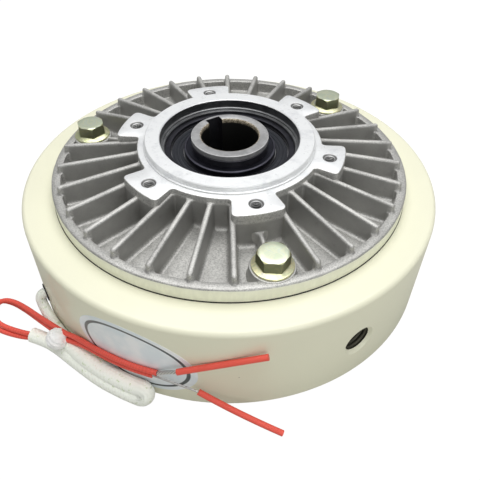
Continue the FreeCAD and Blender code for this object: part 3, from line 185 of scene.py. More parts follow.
class Paint:
    """A material under construction, with one Principled shader.

    here is the piece's own place in metres from the frame's origin, and along a cord's own place,
    along it and round it.
    """

    def __init__(self, name, **constants):
        self.material = bpy.data.materials.new(name)
        self.material.use_nodes = True
        self.tree = self.material.node_tree
        self.tree.nodes.clear()
        output = self.tree.nodes.new("ShaderNodeOutputMaterial")
        self.shader = self.tree.nodes.new("ShaderNodeBsdfPrincipled")
        self.tree.links.new(self.shader.outputs[0], output.inputs["Surface"])
        for socket, value in constants.items():
            self.shader.inputs[socket.replace("_", " ")].default_value = value
        coordinates = self.add("ShaderNodeTexCoord", {}, {})
        self.here, self.along = coordinates.outputs["Object"], coordinates.outputs["UV"]

    def add(self, kind, settings, sockets):
        """A node of a type, with its settings first and then its sockets' values or links."""
        node = self.tree.nodes.new(kind)
        for name, value in settings.items():
            if name == "stops":
                self._set_stops(node.color_ramp, value)
            else:
                setattr(node, name, value)
        for name, value in sockets.items():
            self.feed(node.inputs[name], value)
        return node

    def _set_stops(self, ramp, stops):
        while len(ramp.elements) < len(stops):
            ramp.elements.new(1.0)
        for element, (position, colour) in zip(ramp.elements, stops):
            element.position = position
            element.color = (*colour, 1.0)

    def feed(self, socket, value):
        """A socket set to a value, or linked to a field or another socket."""
        if isinstance(value, Field):
            value = value.socket
        if isinstance(value, bpy.types.NodeSocket):
            self.tree.links.new(value, socket)
        elif socket.type == "RGBA" and len(value) == 3:
            socket.default_value = (*value, 1.0)
        else:
            socket.default_value = value

    def parts(self, vector):
        """The three numbers of a place."""
        node = self.add("ShaderNodeSeparateXYZ", {}, {"Vector": vector})
        return [Field(self, node.outputs[axis]) for axis in "XYZ"]

    def level(self):
        """Height above the surface that the brake lies on, in millimetres."""
        return self.parts(self.here)[2] * PER_METRE

    def reach(self):
        """Distance from the shaft axis, in millimetres."""
        x, y, _ = self.parts(self.here)
        return ((x * x + y * y) ** 0.5) * PER_METRE

    def noise(self, size, detail=2.0, roughness=0.5, distortion=0.0, squeeze=None):
        """Smooth noise whose features are about this many millimetres across."""
        place = self.here
        if squeeze:
            scaled = self.add("ShaderNodeVectorMath", {"operation": "MULTIPLY"}, {0: place, 1: squeeze})
            place = scaled.outputs[0]
        node = self.add("ShaderNodeTexNoise", {}, {
            "Vector": place, "Scale": PER_METRE / size, "Detail": detail,
            "Roughness": roughness, "Distortion": distortion})
        return Field(self, node.outputs["Fac"])

    def cells(self, size):
        """Distance from the nearest of scattered points, about this many millimetres apart."""
        node = self.add("ShaderNodeTexVoronoi", {}, {"Vector": self.here, "Scale": PER_METRE / size})
        return Field(self, node.outputs["Distance"])

    def mixed(self, share, first, second):
        """A colour between two others."""
        node = self.add("ShaderNodeMix", {"data_type": "RGBA"}, {0: share, 6: first, 7: second})
        return node.outputs[2]

    def ramp(self, share, stops):
        """A colour from a row of stops."""
        return self.add("ShaderNodeValToRGB", {"stops": stops}, {"Fac": share}).outputs["Color"]

    def bump(self, height, depth):
        """Relief from a field: a height of 1 stands this many millimetres high."""
        node = self.add("ShaderNodeBump", {}, {"Height": height, "Distance": depth * MM, "Strength": 1.0})
        self.feed(self.shader.inputs["Normal"], node.outputs["Normal"])

    def colour(self, value):
        self.feed(self.shader.inputs["Base Color"], value)

    def rough(self, value):
        self.feed(self.shader.inputs["Roughness"], value)


def fin_top(out):
    """Level of a fin's crest at a distance from the shaft axis, which may be a field."""
    inner_level, fall = 70.3, 0.118
    return inner_level - (out - STAR_ROOT) * fall


def toned(colour, share, lift=0.0):
    """A colour made darker or lighter by a share, and lifted evenly."""
    return tuple(min(1.0, part * share + lift) for part in colour)


def cream_enamel(colours):
    """Cream enamel with a faint orange peel, a few specks and dulled patches."""
    paint = Paint("cream_enamel", Specular_IOR_Level=0.5, Coat_Weight=0.25, Coat_Roughness=0.12)
    base = tuple(colours.body_paint)
    cloud = paint.noise(60.0, 3.0)
    tone = paint.mixed(cloud.within(0.35, 0.7), toned(base, 0.97), base)
    specks = paint.cells(16.0).within(0.0, 0.028)
    chosen = paint.noise(9.0, 1.0).within(0.46, 0.52)
    marked = paint.mixed((1.0 - specks) * chosen, tone, (0.16, 0.12, 0.08))
    paint.colour(marked)
    paint.rough(0.34 + paint.noise(22.0, 3.0) * 0.14)
    peel = paint.noise(2.4, 2.0) + paint.noise(0.8, 1.0) * 0.3
    paint.bump(peel, 0.035)
    return paint.material


def cast_metal(colours, name="cast_aluminium", wall_shade=0.42):
    """Die-cast aluminium: grey, finely grained, with painted shade down the walls and a painted highlight on
    the crests.
    """
    paint = Paint(name, Metallic=0.72, Specular_IOR_Level=0.5)
    base = tuple(colours.casting)
    height = paint.level()
    reach = paint.reach()
    below_crest = fin_top(reach) - height
    # Painted highlight: a thin band at each fin's crest level is made lighter.
    rubbed_and_highlighted = (1.0 - below_crest.within(0.1, 0.75)) * below_crest.within(-0.6, -0.3)
    # Painted shade: walls between the floor and the crests, inside the rim, are made darker by wall_shade.
    wall = height.within(55.4, 57.2) * below_crest.within(0.5, 1.6) * (1.0 - reach.within(86.4, 87.6))
    grain = paint.noise(0.7, 2.0, 0.6)
    cloud = paint.noise(14.0, 4.0, 0.6)
    tone = paint.mixed(cloud.within(0.3, 0.7), toned(base, 0.88), toned(base, 1.06))
    speckle = grain.within(0.30, 0.62) * (1.0 - wall * 0.75) + wall * 0.75
    grained = paint.mixed(speckle, toned(base, 0.62), tone)
    wall_shaded = paint.mixed(wall * wall_shade, grained, (0.16, 0.158, 0.15))
    stains = paint.noise(5.0, 4.0, 0.65).within(0.60, 0.72) * 0.3
    stained = paint.mixed(stains, wall_shaded, (0.22, 0.215, 0.20))
    paint.colour(paint.mixed(rubbed_and_highlighted * cloud.within(0.35, 0.6) * 0.35, stained, toned(base, 1.3)))
    paint.rough(0.46 + grain * 0.16 + rubbed_and_highlighted * 0.08)
    pits = paint.cells(1.0).within(0.05, 0.4)
    paint.bump(grain * 0.6 + pits * 0.3 + cloud * 0.6, 0.06)
    return paint.material


def machined_metal(colours):
    """Turned aluminium: bright, with fine rings about the shaft and a few worn marks."""
    paint = Paint("machined_aluminium", Metallic=0.5, Specular_IOR_Level=0.5)
    base = tuple(colours.machined)
    rings = (paint.reach() * 24.0 + paint.noise(8.0) * 3.0).wave()
    rubbed_and_highlighted = paint.noise(3.0, 4.0, 0.7, squeeze=(1.0, 1.0, 3.0)).within(0.56, 0.72)
    tone = paint.mixed(rings * 0.25, base, toned(base, 0.93))
    handled = paint.noise(11.0, 5.0, 0.7, squeeze=(1.0, 1.0, 2.0)).within(0.50, 0.70)
    smudged = paint.mixed(handled * 0.35, tone, (0.52, 0.54, 0.57))
    paint.colour(paint.mixed(rubbed_and_highlighted * 0.35, smudged, (0.42, 0.42, 0.42)))
    paint.rough(0.40 + rings * 0.05 + rubbed_and_highlighted * 0.12)
    paint.bump(rings * 0.6 + paint.noise(0.5, 2.0) * 0.4, 0.012)
    return paint.material


def turned_flange_metal(colours):
    """The cast flange's turned side: pale, tinted yellow by a painted reflection of the cream body, with fine
    upright streaks.
    """
    paint = Paint("turned_flange", Metallic=0.4, Specular_IOR_Level=0.5)
    base = tuple(colours.machined)
    streaks = paint.noise(2.4, 3.0, 0.6, squeeze=(1.0, 1.0, 0.35))
    # Painted reflection: the pale metal is tinted towards the cream body beside it.
    cream_reflection_tint = (base[0] * 0.90, base[1] * 0.90, base[2] * 0.77)
    paint.colour(paint.mixed(streaks.within(0.35, 0.7), cream_reflection_tint, toned(cream_reflection_tint, 1.07)))
    paint.rough(0.46 + streaks * 0.12)
    paint.bump(paint.noise(0.5, 2.0), 0.03)
    return paint.material


def zinc_plate(colours):
    """Yellow zinc plate with faint green, gold and violet films, a painted highlight on the head tops and
    painted shade down the head sides.
    """
    paint = Paint("zinc_plate", Metallic=0.8)
    base = tuple(colours.zinc)
    film = paint.noise(5.0, 2.0, 0.5, 1.2)
    shades = paint.ramp(film, [
        (0.30, (0.62, 0.66, 0.36)), (0.44, base), (0.55, (0.80, 0.74, 0.44)),
        (0.66, (0.64, 0.66, 0.52)), (0.78, (0.66, 0.55, 0.55))])
    height = paint.level()
    # Painted shade: the sides of each hexagon head are made dark. Painted highlight: the head tops are made
    # pale green.
    side = height.within(63.2, 63.7) * (1.0 - height.within(68.9, 69.15))
    top = height.within(69.0, 69.2)
    plated_and_highlighted = paint.mixed(top * 0.55, shades, (0.72, 0.83, 0.70))
    paint.colour(paint.mixed(side * 0.8, plated_and_highlighted, (0.10, 0.11, 0.055)))
    paint.rough(0.26 + paint.noise(1.2, 3.0) * 0.16)
    paint.bump(paint.noise(0.6, 2.0), 0.02)
    return paint.material


def plain_steel(name, colour, rough, ring_share=0.25, metal=1.0):
    """Ground or turned steel with fine rings about the shaft."""
    paint = Paint(name, Metallic=metal)
    rings = ((paint.reach() + paint.level()) * 20.0).wave()
    smear = paint.noise(4.0, 4.0, 0.65)
    shine = smear.within(0.35, 0.7) * (1.0 - ring_share) + rings * ring_share
    paint.colour(paint.mixed(shine, toned(colour, 0.72), colour))
    paint.rough(rough + smear * 0.12)
    paint.bump(rings * 0.5 + paint.noise(0.4, 2.0) * 0.5, 0.01)
    return paint.material


def rusty_bore():
    """The shaft's bore: near black deeper in as painted shade, brown near its mouth, with a speckled rust
    bloom there.
    """
    paint = Paint("bore_bloom", Metallic=0.4)
    near_mouth = paint.level().within(74.2, 75.6)
    bloom = paint.noise(0.9, 4.0, 0.8).within(0.46, 0.58) * near_mouth
    # Painted shade: the bore goes near black below its mouth.
    dark = paint.mixed(near_mouth, (0.010, 0.010, 0.009), (0.20, 0.17, 0.12))
    paint.colour(paint.mixed(bloom, dark, (0.66, 0.58, 0.44)))
    paint.rough(0.5 + bloom * 0.25)
    paint.bump(bloom, 0.05)
    return paint.material


def threaded_metal():
    """A tapped hole's wall: pale thread tips, with painted shade in the thread roots that grows darker with
    depth.
    """
    paint = Paint("threaded_aluminium", Metallic=0.6)
    depth = PAD_TOP - paint.level()
    turns = ((depth - 0.9) * math.tau - math.pi / 2).wave()
    lit = (1.0 - depth.within(1.0, 8.0)) * (1.0 - turns * 0.8)
    paint.colour(paint.mixed(lit, (0.014, 0.014, 0.015), (0.62, 0.62, 0.61)))
    paint.rough(0.35 + turns * 0.2)
    return paint.material


def rubber(name, colour, rough=0.55):
    """Moulded rubber with a fine skin."""
    paint = Paint(name, Specular_IOR_Level=0.4)
    skin = paint.noise(0.7, 3.0)
    dust = paint.noise(6.0, 4.0, 0.7).within(0.58, 0.75)
    paint.colour(paint.mixed(dust * 0.35, colour, toned(colour, 1.9, 0.012)))
    paint.rough(rough + skin * 0.15)
    paint.bump(skin, 0.02)
    return paint.material


def silicone(colour):
    """Soft silicone insulation with faint bars across it."""
    paint = Paint("red_silicone", Specular_IOR_Level=0.45)
    bars = (paint.parts(paint.along)[0] * 900.0).wave()
    cloud = paint.noise(3.0, 3.0)
    paint.colour(paint.mixed(bars * 0.35 + cloud * 0.3, colour, toned(colour, 1.25, 0.03)))
    paint.rough(0.42 + cloud * 0.15)
    paint.bump(bars * 0.6 + cloud * 0.4, 0.03)
    return paint.material


def woven_sleeve(length):
    """Off-white varnished weave with faint grey, green and pink threads."""
    paint = Paint("woven_sleeve", Specular_IOR_Level=0.35, Sheen_Weight=0.45)
    along, around, _ = paint.parts(paint.along)
    run = along * (length / 1.1 * math.tau)
    turn = around * (7.0 * math.tau)
    weave = (run + turn).wave() * (run - turn).wave()
    cloud = paint.noise(7.0, 3.0)
    tint = paint.ramp(paint.noise(2.4, 4.0, 0.65), [
        (0.34, (0.58, 0.68, 0.40)), (0.40, (0.97, 1.0, 0.90)), (0.64, (0.98, 1.0, 0.92)),
        (0.72, (0.86, 0.78, 0.64))])
    stain = cloud.within(0.56, 0.74) * 0.25
    soiled = paint.mixed(stain, tint, (0.76, 0.77, 0.66))
    paint.colour(paint.mixed(weave * 0.3 + 0.7, (0.90, 0.92, 0.82), soiled))
    paint.rough(0.50 + cloud * 0.2)
    paint.bump(weave + cloud * 0.5, 0.13)
    return paint.material


def strand_metal(length):
    """Tinned strands, twisted."""
    paint = Paint("tinned_strands", Metallic=1.0)
    along, around, _ = paint.parts(paint.along)
    twist = (along * (length / 4.0 * math.tau) * 2.0 + around * (5.0 * math.tau)).wave()
    paint.colour(paint.mixed(twist, (0.42, 0.41, 0.40), (0.82, 0.81, 0.78)))
    paint.rough(0.3 + twist * 0.1)
    paint.bump(twist, 0.1)
    return paint.material


def tie_cord():
    """Knotted white cord: soft, finely twisted."""
    paint = Paint("tie_cord", Sheen_Weight=0.25)
    fibres = paint.noise(1.1, 4.0, 0.7, 0.6, squeeze=(1.0, 2.4, 1.0))
    paint.colour(paint.mixed(fibres.within(0.3, 0.65), (0.88, 0.87, 0.85), (0.97, 0.97, 0.96)))
    paint.rough(0.62 + fibres * 0.2)
    paint.bump(fibres, 0.25)
    return paint.material


def label_film():
    """A white oval label with a dark border inside its edge, from the label's own coordinates."""
    paint = Paint("label_film", Coat_Weight=0.6, Coat_Roughness=0.15)
    u, v, _ = paint.parts(paint.along)
    x = (u - 0.5) * 2.0
    y = (v - 0.5) * 2.0
    reach = (x * x + y * y) ** 0.5
    border = reach.within(0.825, 0.840) * (1.0 - reach.within(0.885, 0.900))
    sheen = paint.noise(12.0, 3.0).within(0.35, 0.65)
    white = paint.mixed(sheen, (0.76, 0.83, 0.87), (0.91, 0.93, 0.94))
    paint.colour(paint.mixed(border, white, (0.035, 0.045, 0.05)))
    paint.rough(0.30 + sheen * 0.1)
    paint.bump(paint.noise(6.0, 2.0), 0.04)
    return paint.material


def moulded(name, colour, size=1.2, rough=0.5, depth=0.05):
    """A moulded, pressed or wound inner material with some grain."""
    paint = Paint(name)
    grain = paint.noise(size, 3.0)
    paint.colour(paint.mixed(grain.within(0.3, 0.7), toned(colour, 0.8), colour))
    paint.rough(rough + grain * 0.2)
    paint.bump(grain, depth)
    return paint.material


MADE = {}
SHARED = {
    "cast": cast_metal, "machined": machined_metal, "flange": turned_flange_metal, "zinc": zinc_plate}


def finish_of(kind, context):
    """A shared finish, made the first time it is asked for."""
    if kind not in MADE:
        MADE[kind] = SHARED[kind](context.scene.brake_colours)
    return MADE[kind]


def polar(radius, angle, height=0.0):
    """A point from its distance and its angle in degrees about the shaft axis."""
    turn = math.radians(angle)
    return Vector((radius * math.cos(turn), radius * math.sin(turn), height))


def rounded(points, radii, steps=5):
    """A closed outline with each corner rounded by its own radius."""
    result = []
    count = len(points)
    for index, corner in enumerate(points):
        radius = radii[index] if isinstance(radii, (list, tuple)) else radii
        here = Vector(corner)
        back = Vector(points[index - 1]) - here
        onward = Vector(points[(index + 1) % count]) - here
        if radius <= 0 or back.length < 1e-6 or onward.length < 1e-6:
            result.append(here)
            continue
        back_way, onward_way = back.normalized(), onward.normalized()
        inside = back_way.angle(onward_way)
        if inside > math.pi - 1e-3:
            result.append(here)
            continue
        reach = radius / math.tan(inside / 2)
        reach = min(reach, back.length * 0.49, onward.length * 0.49)
        real = reach * math.tan(inside / 2)
        middle = here + (back_way + onward_way).normalized() * (real / math.sin(inside / 2))
        start = here + back_way * reach - middle
        end = here + onward_way * reach - middle
        for step in range(steps + 1):
            spin = start.lerp(end, step / steps)
            result.append(middle + spin.normalized() * real)
    return result


def smoothed(mesh, degrees=CREASE):
    """Smooth faces, with edges sharper than the angle left crisp."""
    mesh.polygons.foreach_set("use_smooth", [True] * len(mesh.polygons))
    mesh.set_sharp_from_angle(angle=math.radians(degrees))


def linked(name, data):
    """A new object in the scene that holds the data."""
    thing = bpy.data.objects.new(name, data)
    bpy.context.scene.collection.objects.link(thing)
    return thing


def as_mesh(name, work, closed=True):
    """A mesh from one under construction: its faces turned outwards, its millimetres made metres."""
    if closed:
        bmesh.ops.recalc_face_normals(work, faces=work.faces)
    bmesh.ops.scale(work, vec=(MM, MM, MM), verts=work.verts)
    mesh = bpy.data.meshes.new(name)
    work.to_mesh(mesh)
    work.free()
    return mesh


def as_object(name, work, materials, degrees=CREASE, closed=True):
    """An object in the scene from a mesh under construction."""
    mesh = as_mesh(name, work, closed)
    for material in materials:
        mesh.materials.append(material)
    smoothed(mesh, degrees)
    return linked(name, mesh)


def baked(piece):
    """The piece's mesh as its modifiers leave it. The modifiers are taken off."""
    bpy.context.view_layer.update()
    result = bpy.data.meshes.new_from_object(piece.evaluated_get(bpy.context.evaluated_depsgraph_get()))
    piece.modifiers.clear()
    return result


def add_grid(work, rows, closed_rows=False, closed_columns=False, paint=0):
    """Faces between rows of points. Rows run across the first direction, points along the second."""
    verts = [[work.verts.new(point) for point in row] for row in rows]
    row_count = len(rows) if closed_rows else len(rows) - 1
    point_count = len(rows[0]) if closed_columns else len(rows[0]) - 1
    for i in range(row_count):
        for j in range(point_count):
            one, two = verts[i], verts[(i + 1) % len(rows)]
            after = (j + 1) % len(rows[0])
            face = work.faces.new((one[j], two[j], two[after], one[after]))
            face.material_index = paint(i, j) if callable(paint) else paint
    return verts


def add_ends(work, verts, paint=0):
    """The two faces that close a run of sections."""
    for row in (verts[0], verts[-1]):
        work.faces.new(row).material_index = paint


def add_ring(work, profile, paint=0, steps=ROUND_STEPS, centre=Vector()):
    """A closed section of radius and level turned about the shaft axis, or about an upright centre."""
    rows = [[polar(r, 360.0 * step / steps, z) + centre for r, z in profile] for step in range(steps)]
    add_grid(work, rows, closed_rows=True, closed_columns=True, paint=paint)


def add_dome(work, profile, paint=0, steps=48, centre=Vector(), along=Vector((0, 0, 1))):
    """A section that starts and ends on its own axis, turned into a closed solid."""
    turn = Vector((0, 0, 1)).rotation_difference(along).to_matrix()
    tips = [work.verts.new(turn @ Vector((0, 0, level)) + centre)
            for level in (profile[0][1], profile[-1][1])]
    rows = [[turn @ polar(r, 360.0 * step / steps, z) + centre for r, z in profile[1:-1]]
            for step in range(steps)]
    verts = add_grid(work, rows, closed_rows=True, paint=paint)
    for step in range(steps):
        one, two = verts[step], verts[(step + 1) % steps]
        for tip, end in zip(tips, (0, -1)):
            work.faces.new((tip, one[end], two[end])).material_index = paint


def sections(points, radii, steps=3):
    """A lathe section with softened corners, as plain pairs."""
    flat = [(point[0], point[1], 0.0) for point in points]
    return [(point.x, point.y) for point in rounded(flat, radii, steps)]


def placed(piece, body, replaces=()):
    """The piece, made to move with a body and to stand for CAD nodes."""
    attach(piece, body)
    if replaces:
        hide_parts(*replaces)
    return piece


def thread_section(radius, pitch, depth, crest, mouth_radius, mouth_depth):
    """Section of a tapped hole from its mouth down: radius against distance below the surface."""
    section = [(mouth_radius, 0.0), (radius, mouth_depth)]
    level = mouth_depth
    while level + pitch < depth - pitch:
        section += [(radius, level + pitch * 0.12), (radius + crest, level + pitch * 0.5),
                    (radius, level + pitch * 0.88)]
        level += pitch
    section.append((radius, depth))
    return section


def cut_with(piece, cutter):
    """The piece with the cutter's space taken out of its mesh."""
    modifier = piece.modifiers.new("cut", "BOOLEAN")
    modifier.operation = "DIFFERENCE"
    modifier.solver = "EXACT"
    modifier.object = cutter
    result = baked(piece)
    whole = piece.data
    piece.data = result
    result.name = whole.name
    bpy.data.meshes.remove(whole)
    bpy.data.objects.remove(cutter)
    smoothed(result, 30.0)


def hole_cutter(section, angle, level, steps=48):
    """A solid in the shape of a radial hole: section is radius against distance below the surface."""
    above = 3.0
    profile = [(0.0, above), (section[0][0], above)]
    profile += [(radius, -below) for radius, below in section]
    profile.append((0.0, -section[-1][1]))
    work = bmesh.new()
    add_dome(work, profile, steps=steps, centre=polar(BODY_RADIUS, angle, level), along=polar(1.0, angle))
    return as_object("cutter", work, [])


class BRAKE_OT_body(bpy.types.Operator):
    """The painted ring body with its tapped side hole"""

    bl_idname = "powder_brake.body"
    bl_label = "Ring body"

    def execute(self, context):
        profile = [
            (70.0, 33.0), (70.0, 50.0), (89.0, 50.0), (89.0, BODY_TOP), (BODY_RADIUS, BODY_TOP),
            (BODY_RADIUS, 0.0), (101.0, 0.0), (101.0, 7.0), (94.0, 7.0), (94.0, 39.0), (74.0, 39.0),
            (74.0, 33.0)]
        radii = [0.2, 0.2, 0.2, 0.3, 2.5, 0.8, 0.6, 0.2, 0.2, 0.2, 0.2, 0.2]
        painted_from, painted_top_from = 100.9, 89.2
        bare, darkened = 1, 2
        work = bmesh.new()
        add_ring(work, sections(profile, radii, 7))
        for face in work.faces:
            middle = face.calc_center_median()
            out = middle.xy.length
            if out < painted_from and not (middle.z > BODY_TOP - 0.1 and out > painted_top_from):
                face.material_index = bare
        body = as_object("ring_body", work, [
            cream_enamel(context.scene.brake_colours),
            plain_steel("bare_pole_steel", (0.40, 0.39, 0.37), 0.4),
            # Painted shade for the walls inside the eye hole.
            plain_steel("oiled_thread", (0.13, 0.125, 0.09), 0.5, metal=0.5)], 30.0)
        eye_hole = thread_section(radius=6.95, pitch=2.0, depth=13.0, crest=0.75,
                                  mouth_radius=8.75, mouth_depth=1.7)
        cut_with(body, hole_cutter(eye_hole, EYE_HOLE_ANGLE, EYE_HOLE_LEVEL))
        lead_hole = [(4.2, 0.0), (4.0, 0.3), (4.0, 15.6)]
        cut_with(body, hole_cutter(lead_hole, LEAD_HOLE_ANGLE, LEAD_HOLE_LEVEL, 32))
        # Painted shade: faces inside the tapped eye hole get the dark third finish.
        hole_middle = polar(BODY_RADIUS, EYE_HOLE_ANGLE, EYE_HOLE_LEVEL)
        hole_shade_reach, paint_ends = 16.0, BODY_RADIUS - 1.5
        for face in body.data.polygons:
            middle = Vector(face.center) / MM
            if (middle - hole_middle).length < hole_shade_reach and middle.xy.length < paint_ends:
                face.material_index = darkened
        placed(body, "stator", ["stator_yoke"])
        return {"FINISHED"}


def star_outline():
    """Plan of the machined star: pads with round corners and round roots. Also the outward normals."""
    points, radii = [], []
    half = PAD_HALF_ANGLE
    for angle in PAD_ANGLES:
        points += [polar(STAR_ROOT, angle - half), polar(STAR_REACH, angle - half)]
        points += [polar(STAR_REACH, angle + step * half * 0.19) for step in range(-3, 4)]
        points += [polar(STAR_REACH, angle + half), polar(STAR_ROOT, angle + half)]
        points += [polar(STAR_ROOT, angle + half + (PAD_PITCH - 2 * half) * step / 8) for step in range(1, 8)]
        radii += [2.5, 2.5] + [0.0] * 7 + [2.5, 2.5] + [0.0] * 7
    path = [Vector((p.x, p.y, 0.0)) for p in rounded(points, radii, 7)]
    normals = []
    for index, here in enumerate(path):
        way = path[(index + 1) % len(path)] - path[index - 1]
        normals.append(Vector((way.y, -way.x, 0.0)).normalized())
    return path, normals


def quarter(first, steps):
    """Sine, and one less cosine, at even steps of a quarter turn."""
    turns = [math.pi / 2 * step / steps for step in range(first, steps + 1)]
    return [(math.sin(turn), 1 - math.cos(turn)) for turn in turns]


def add_fin_walls(work, rows, paint=0):
    """A fin from rows of distance out, half width at crest and root, crest's level and root's round."""
    lines = []
    for out, half_width, root_half_width, top, root in rows:
        crown = min(half_width, CROWN_ROUND)
        section = [(0.0, top)]
        section += [(half_width - crown * (1 - side), top - crown * drop) for side, drop in quarter(1, 5)]
        spring = FLOOR_LEVEL + root
        section.append(((half_width + root_half_width) / 2, (top - crown + spring) / 2))
        section += [(root_half_width + root * away, spring - root * drop) for drop, away in quarter(0, 4)]
        section.append((root_half_width + root, FLOOR_LEVEL - 0.8))
        half = [Vector((out, across, level)) for across, level in section]
        other = [Vector((point.x, -point.y, point.z)) for point in reversed(half[1:])]
        lines.append(other + half)
    add_ends(work, add_grid(work, lines, closed_columns=True, paint=paint), paint)


def flare(distance, radius):
    """How far a corner of this radius stands out at a distance from the wall it meets."""
    if distance >= radius:
        return 0.0
    if distance <= 0:
        return radius
    return radius - math.sqrt(radius ** 2 - (radius - distance) ** 2)


def fin_mesh(sizes):
    """One cooling fin along +X, with its crest, draft, flared root and bullet-shaped outer end."""
    half = sizes.fin_thickness / MM / 2
    root_half = sizes.fin_root_thickness / MM / 2
    casting_round = sizes.casting_round / MM
    straight_from = 50.0
    stations = [FIN_START, STAR_ROOT, 48.15, 48.4, 48.8, 49.4, straight_from]
    stations += [straight_from + (FIN_END - straight_from) * step / 12 for step in range(1, 13)]
    rows = []
    for out in stations:
        more = flare(out - STAR_ROOT, 1.6)
        rows.append((out, half + more, root_half + more, fin_top(out), casting_round))
    work = bmesh.new()
    add_fin_walls(work, rows)
    end_top = fin_top(FIN_END)
    nose = [(0.0, end_top)]
    nose += [(half * side, end_top - half * drop) for side, drop in quarter(1, 5)]
    nose += [(half + 0.1, RIM_TOP + 0.9), (half + 0.22, RIM_TOP + 0.45), (half + 0.75, RIM_TOP - 0.02),
             (half + 0.75, RIM_TOP - 1.0), (0.0, RIM_TOP - 1.0)]
    add_dome(work, nose, steps=28, centre=Vector((FIN_END, 0.0, 0.0)))
    return as_mesh("fin_source", work)


def around_tree(name, source_object):
    """A node tree that sets groups of copies round the shaft axis, and its inputs' identifiers."""
    tree = bpy.data.node_groups.new(name, "GeometryNodeTree")
    kinds = {"Geometry": "Geometry", "Count": "Int", "Start angle": "Float", "Pitch": "Float",
             "Group size": "Int", "Group pitch": "Float", "Material": "Material"}
    identifiers = {}
    for label, kind in kinds.items():
        socket = tree.interface.new_socket(label, in_out="INPUT", socket_type=f"NodeSocket{kind}")
        identifiers[label] = socket.identifier
    tree.interface.new_socket("Geometry", in_out="OUTPUT", socket_type="NodeSocketGeometry")
    nodes, link = tree.nodes, tree.links.new
    given = nodes.new("NodeGroupInput")
    result = nodes.new("NodeGroupOutput")
    line = nodes.new("GeometryNodeMeshLine")
    line.inputs["Offset"].default_value = (0, 0, 0)
    source = nodes.new("GeometryNodeObjectInfo")
    source.inputs["Object"].default_value = source_object
    index = nodes.new("GeometryNodeInputIndex")

    def maths(operation, *values):
        node = nodes.new("ShaderNodeMath")
        node.operation = operation
        for position, value in enumerate(values):
            if isinstance(value, bpy.types.NodeSocket):
                link(value, node.inputs[position])
            else:
                node.inputs[position].default_value = value
        return node.outputs[0]

    group_size = given.outputs["Group size"]
    group = maths("FLOOR", maths("DIVIDE", index.outputs[0], group_size))
    inside = maths("SUBTRACT", index.outputs[0], maths("MULTIPLY", group, group_size))
    turned = maths("ADD", maths("MULTIPLY", inside, given.outputs["Pitch"]),
                   maths("MULTIPLY", group, given.outputs["Group pitch"]))
    degrees = maths("ADD", given.outputs["Start angle"], turned)
    turn = nodes.new("ShaderNodeCombineXYZ")
    link(maths("RADIANS", degrees), turn.inputs["Z"])
    copies = nodes.new("GeometryNodeInstanceOnPoints")
    real = nodes.new("GeometryNodeRealizeInstances")
    finish = nodes.new("GeometryNodeSetMaterial")
    link(given.outputs["Count"], line.inputs["Count"])
    link(line.outputs["Mesh"], copies.inputs["Points"])
    link(source.outputs["Geometry"], copies.inputs["Instance"])
    link(turn.outputs[0], copies.inputs["Rotation"])
    link(copies.outputs[0], real.inputs[0])
    link(real.outputs[0], finish.inputs["Geometry"])
    link(given.outputs["Material"], finish.inputs["Material"])
    link(finish.outputs[0], result.inputs[0])
    return tree, identifiers


def set_around(name, mesh, inputs, degrees=CREASE):
    """Copies of a mesh round the shaft axis, made one plain mesh. The inputs are the node tree's."""
    source = linked(f"{name}_source", mesh)
    carrier = linked(name, bpy.data.meshes.new(name))
    tree, identifiers = around_tree(f"{name}_round", source)
    modifier = carrier.modifiers.new("around", "NODES")
    modifier.node_group = tree
    for label, value in inputs.items():
        modifier[identifiers[label]] = value
    carrier.data = baked(carrier)
    bpy.data.objects.remove(source)
    smoothed(carrier.data, degrees)
    return carrier


class BRAKE_OT_fins(bpy.types.Operator):
    """Twenty-seven cooling fins in three groups between the bolts"""

    bl_idname = "powder_brake.fins"
    bl_label = "Cooling fins"

    def execute(self, context):
        fins = set_around("cooling_fins", fin_mesh(context.scene.brake_sizes), {
            "Count": len(FIN_ANGLES), "Start angle": FRONT_BOLT_ANGLE + FIN_PITCH, "Pitch": FIN_PITCH,
            "Group size": FINS_IN_GROUP, "Group pitch": BOLT_PITCH,
            "Material": finish_of("cast", context)}, 40.0)
        placed(fins, "stator", ())
        return {"FINISHED"}


def add_star(work, cast, machined, threaded):
    """The star of pads: machined top with six tapped holes, drafted walls, flared foot, closed below."""
    path, normals = star_outline()
    foot, foot_start = 2.2, 0.55
    levels = [(-0.35, PAD_TOP), (-0.1, PAD_TOP - 0.1), (0.0, PAD_TOP - 0.35), (0.1, PAD_TOP - 3.0),
              (0.45, FLOOR_LEVEL + 4.5)]
    levels += [(foot_start + foot * away, FLOOR_LEVEL + foot * (1 - drop)) for drop, away in quarter(0, 5)]
    levels.append((foot_start + foot, SUNK_LEVEL))
    rows = [[Vector((p.x + n.x * off, p.y + n.y * off, z)) for p, n in zip(path, normals)]
            for off, z in levels]
    outer = add_grid(work, rows, closed_columns=True, paint=cast)
    rows = [[polar(STAR_BORE, 360.0 * s / 96, z) for s in range(96)] for z in (PAD_TOP, SUNK_LEVEL)]
    inner = add_grid(work, rows, closed_columns=True, paint=cast)
    tapped = thread_section(radius=2.5, pitch=1.0, depth=12.0, crest=0.5, mouth_radius=3.7, mouth_depth=0.9)
    mouths = []
    for angle in PAD_ANGLES:
        centre = polar(PAD_HOLE_CIRCLE, angle)
        rows = [[polar(r, 360.0 * s / 32, PAD_TOP - below) + centre for s in range(32)]
                for r, below in tapped]
        hole = add_grid(work, rows, closed_columns=True, paint=threaded)
        work.faces.new(hole[-1]).material_index = cast
        mouths.append(hole[0])
    for loops, paint in (([outer[0], inner[0], *mouths], machined), ([outer[-1], inner[-1]], cast)):
        edges = []
        for loop in loops:
            for index, vert in enumerate(loop):
                edges.append(work.edges.get((vert, loop[(index + 1) % len(loop)])))
        made = bmesh.ops.triangle_fill(work, use_beauty=True, use_dissolve=False, edges=edges)
        for face in made["geom"]:
            if isinstance(face, bmesh.types.BMFace):
                face.material_index = paint


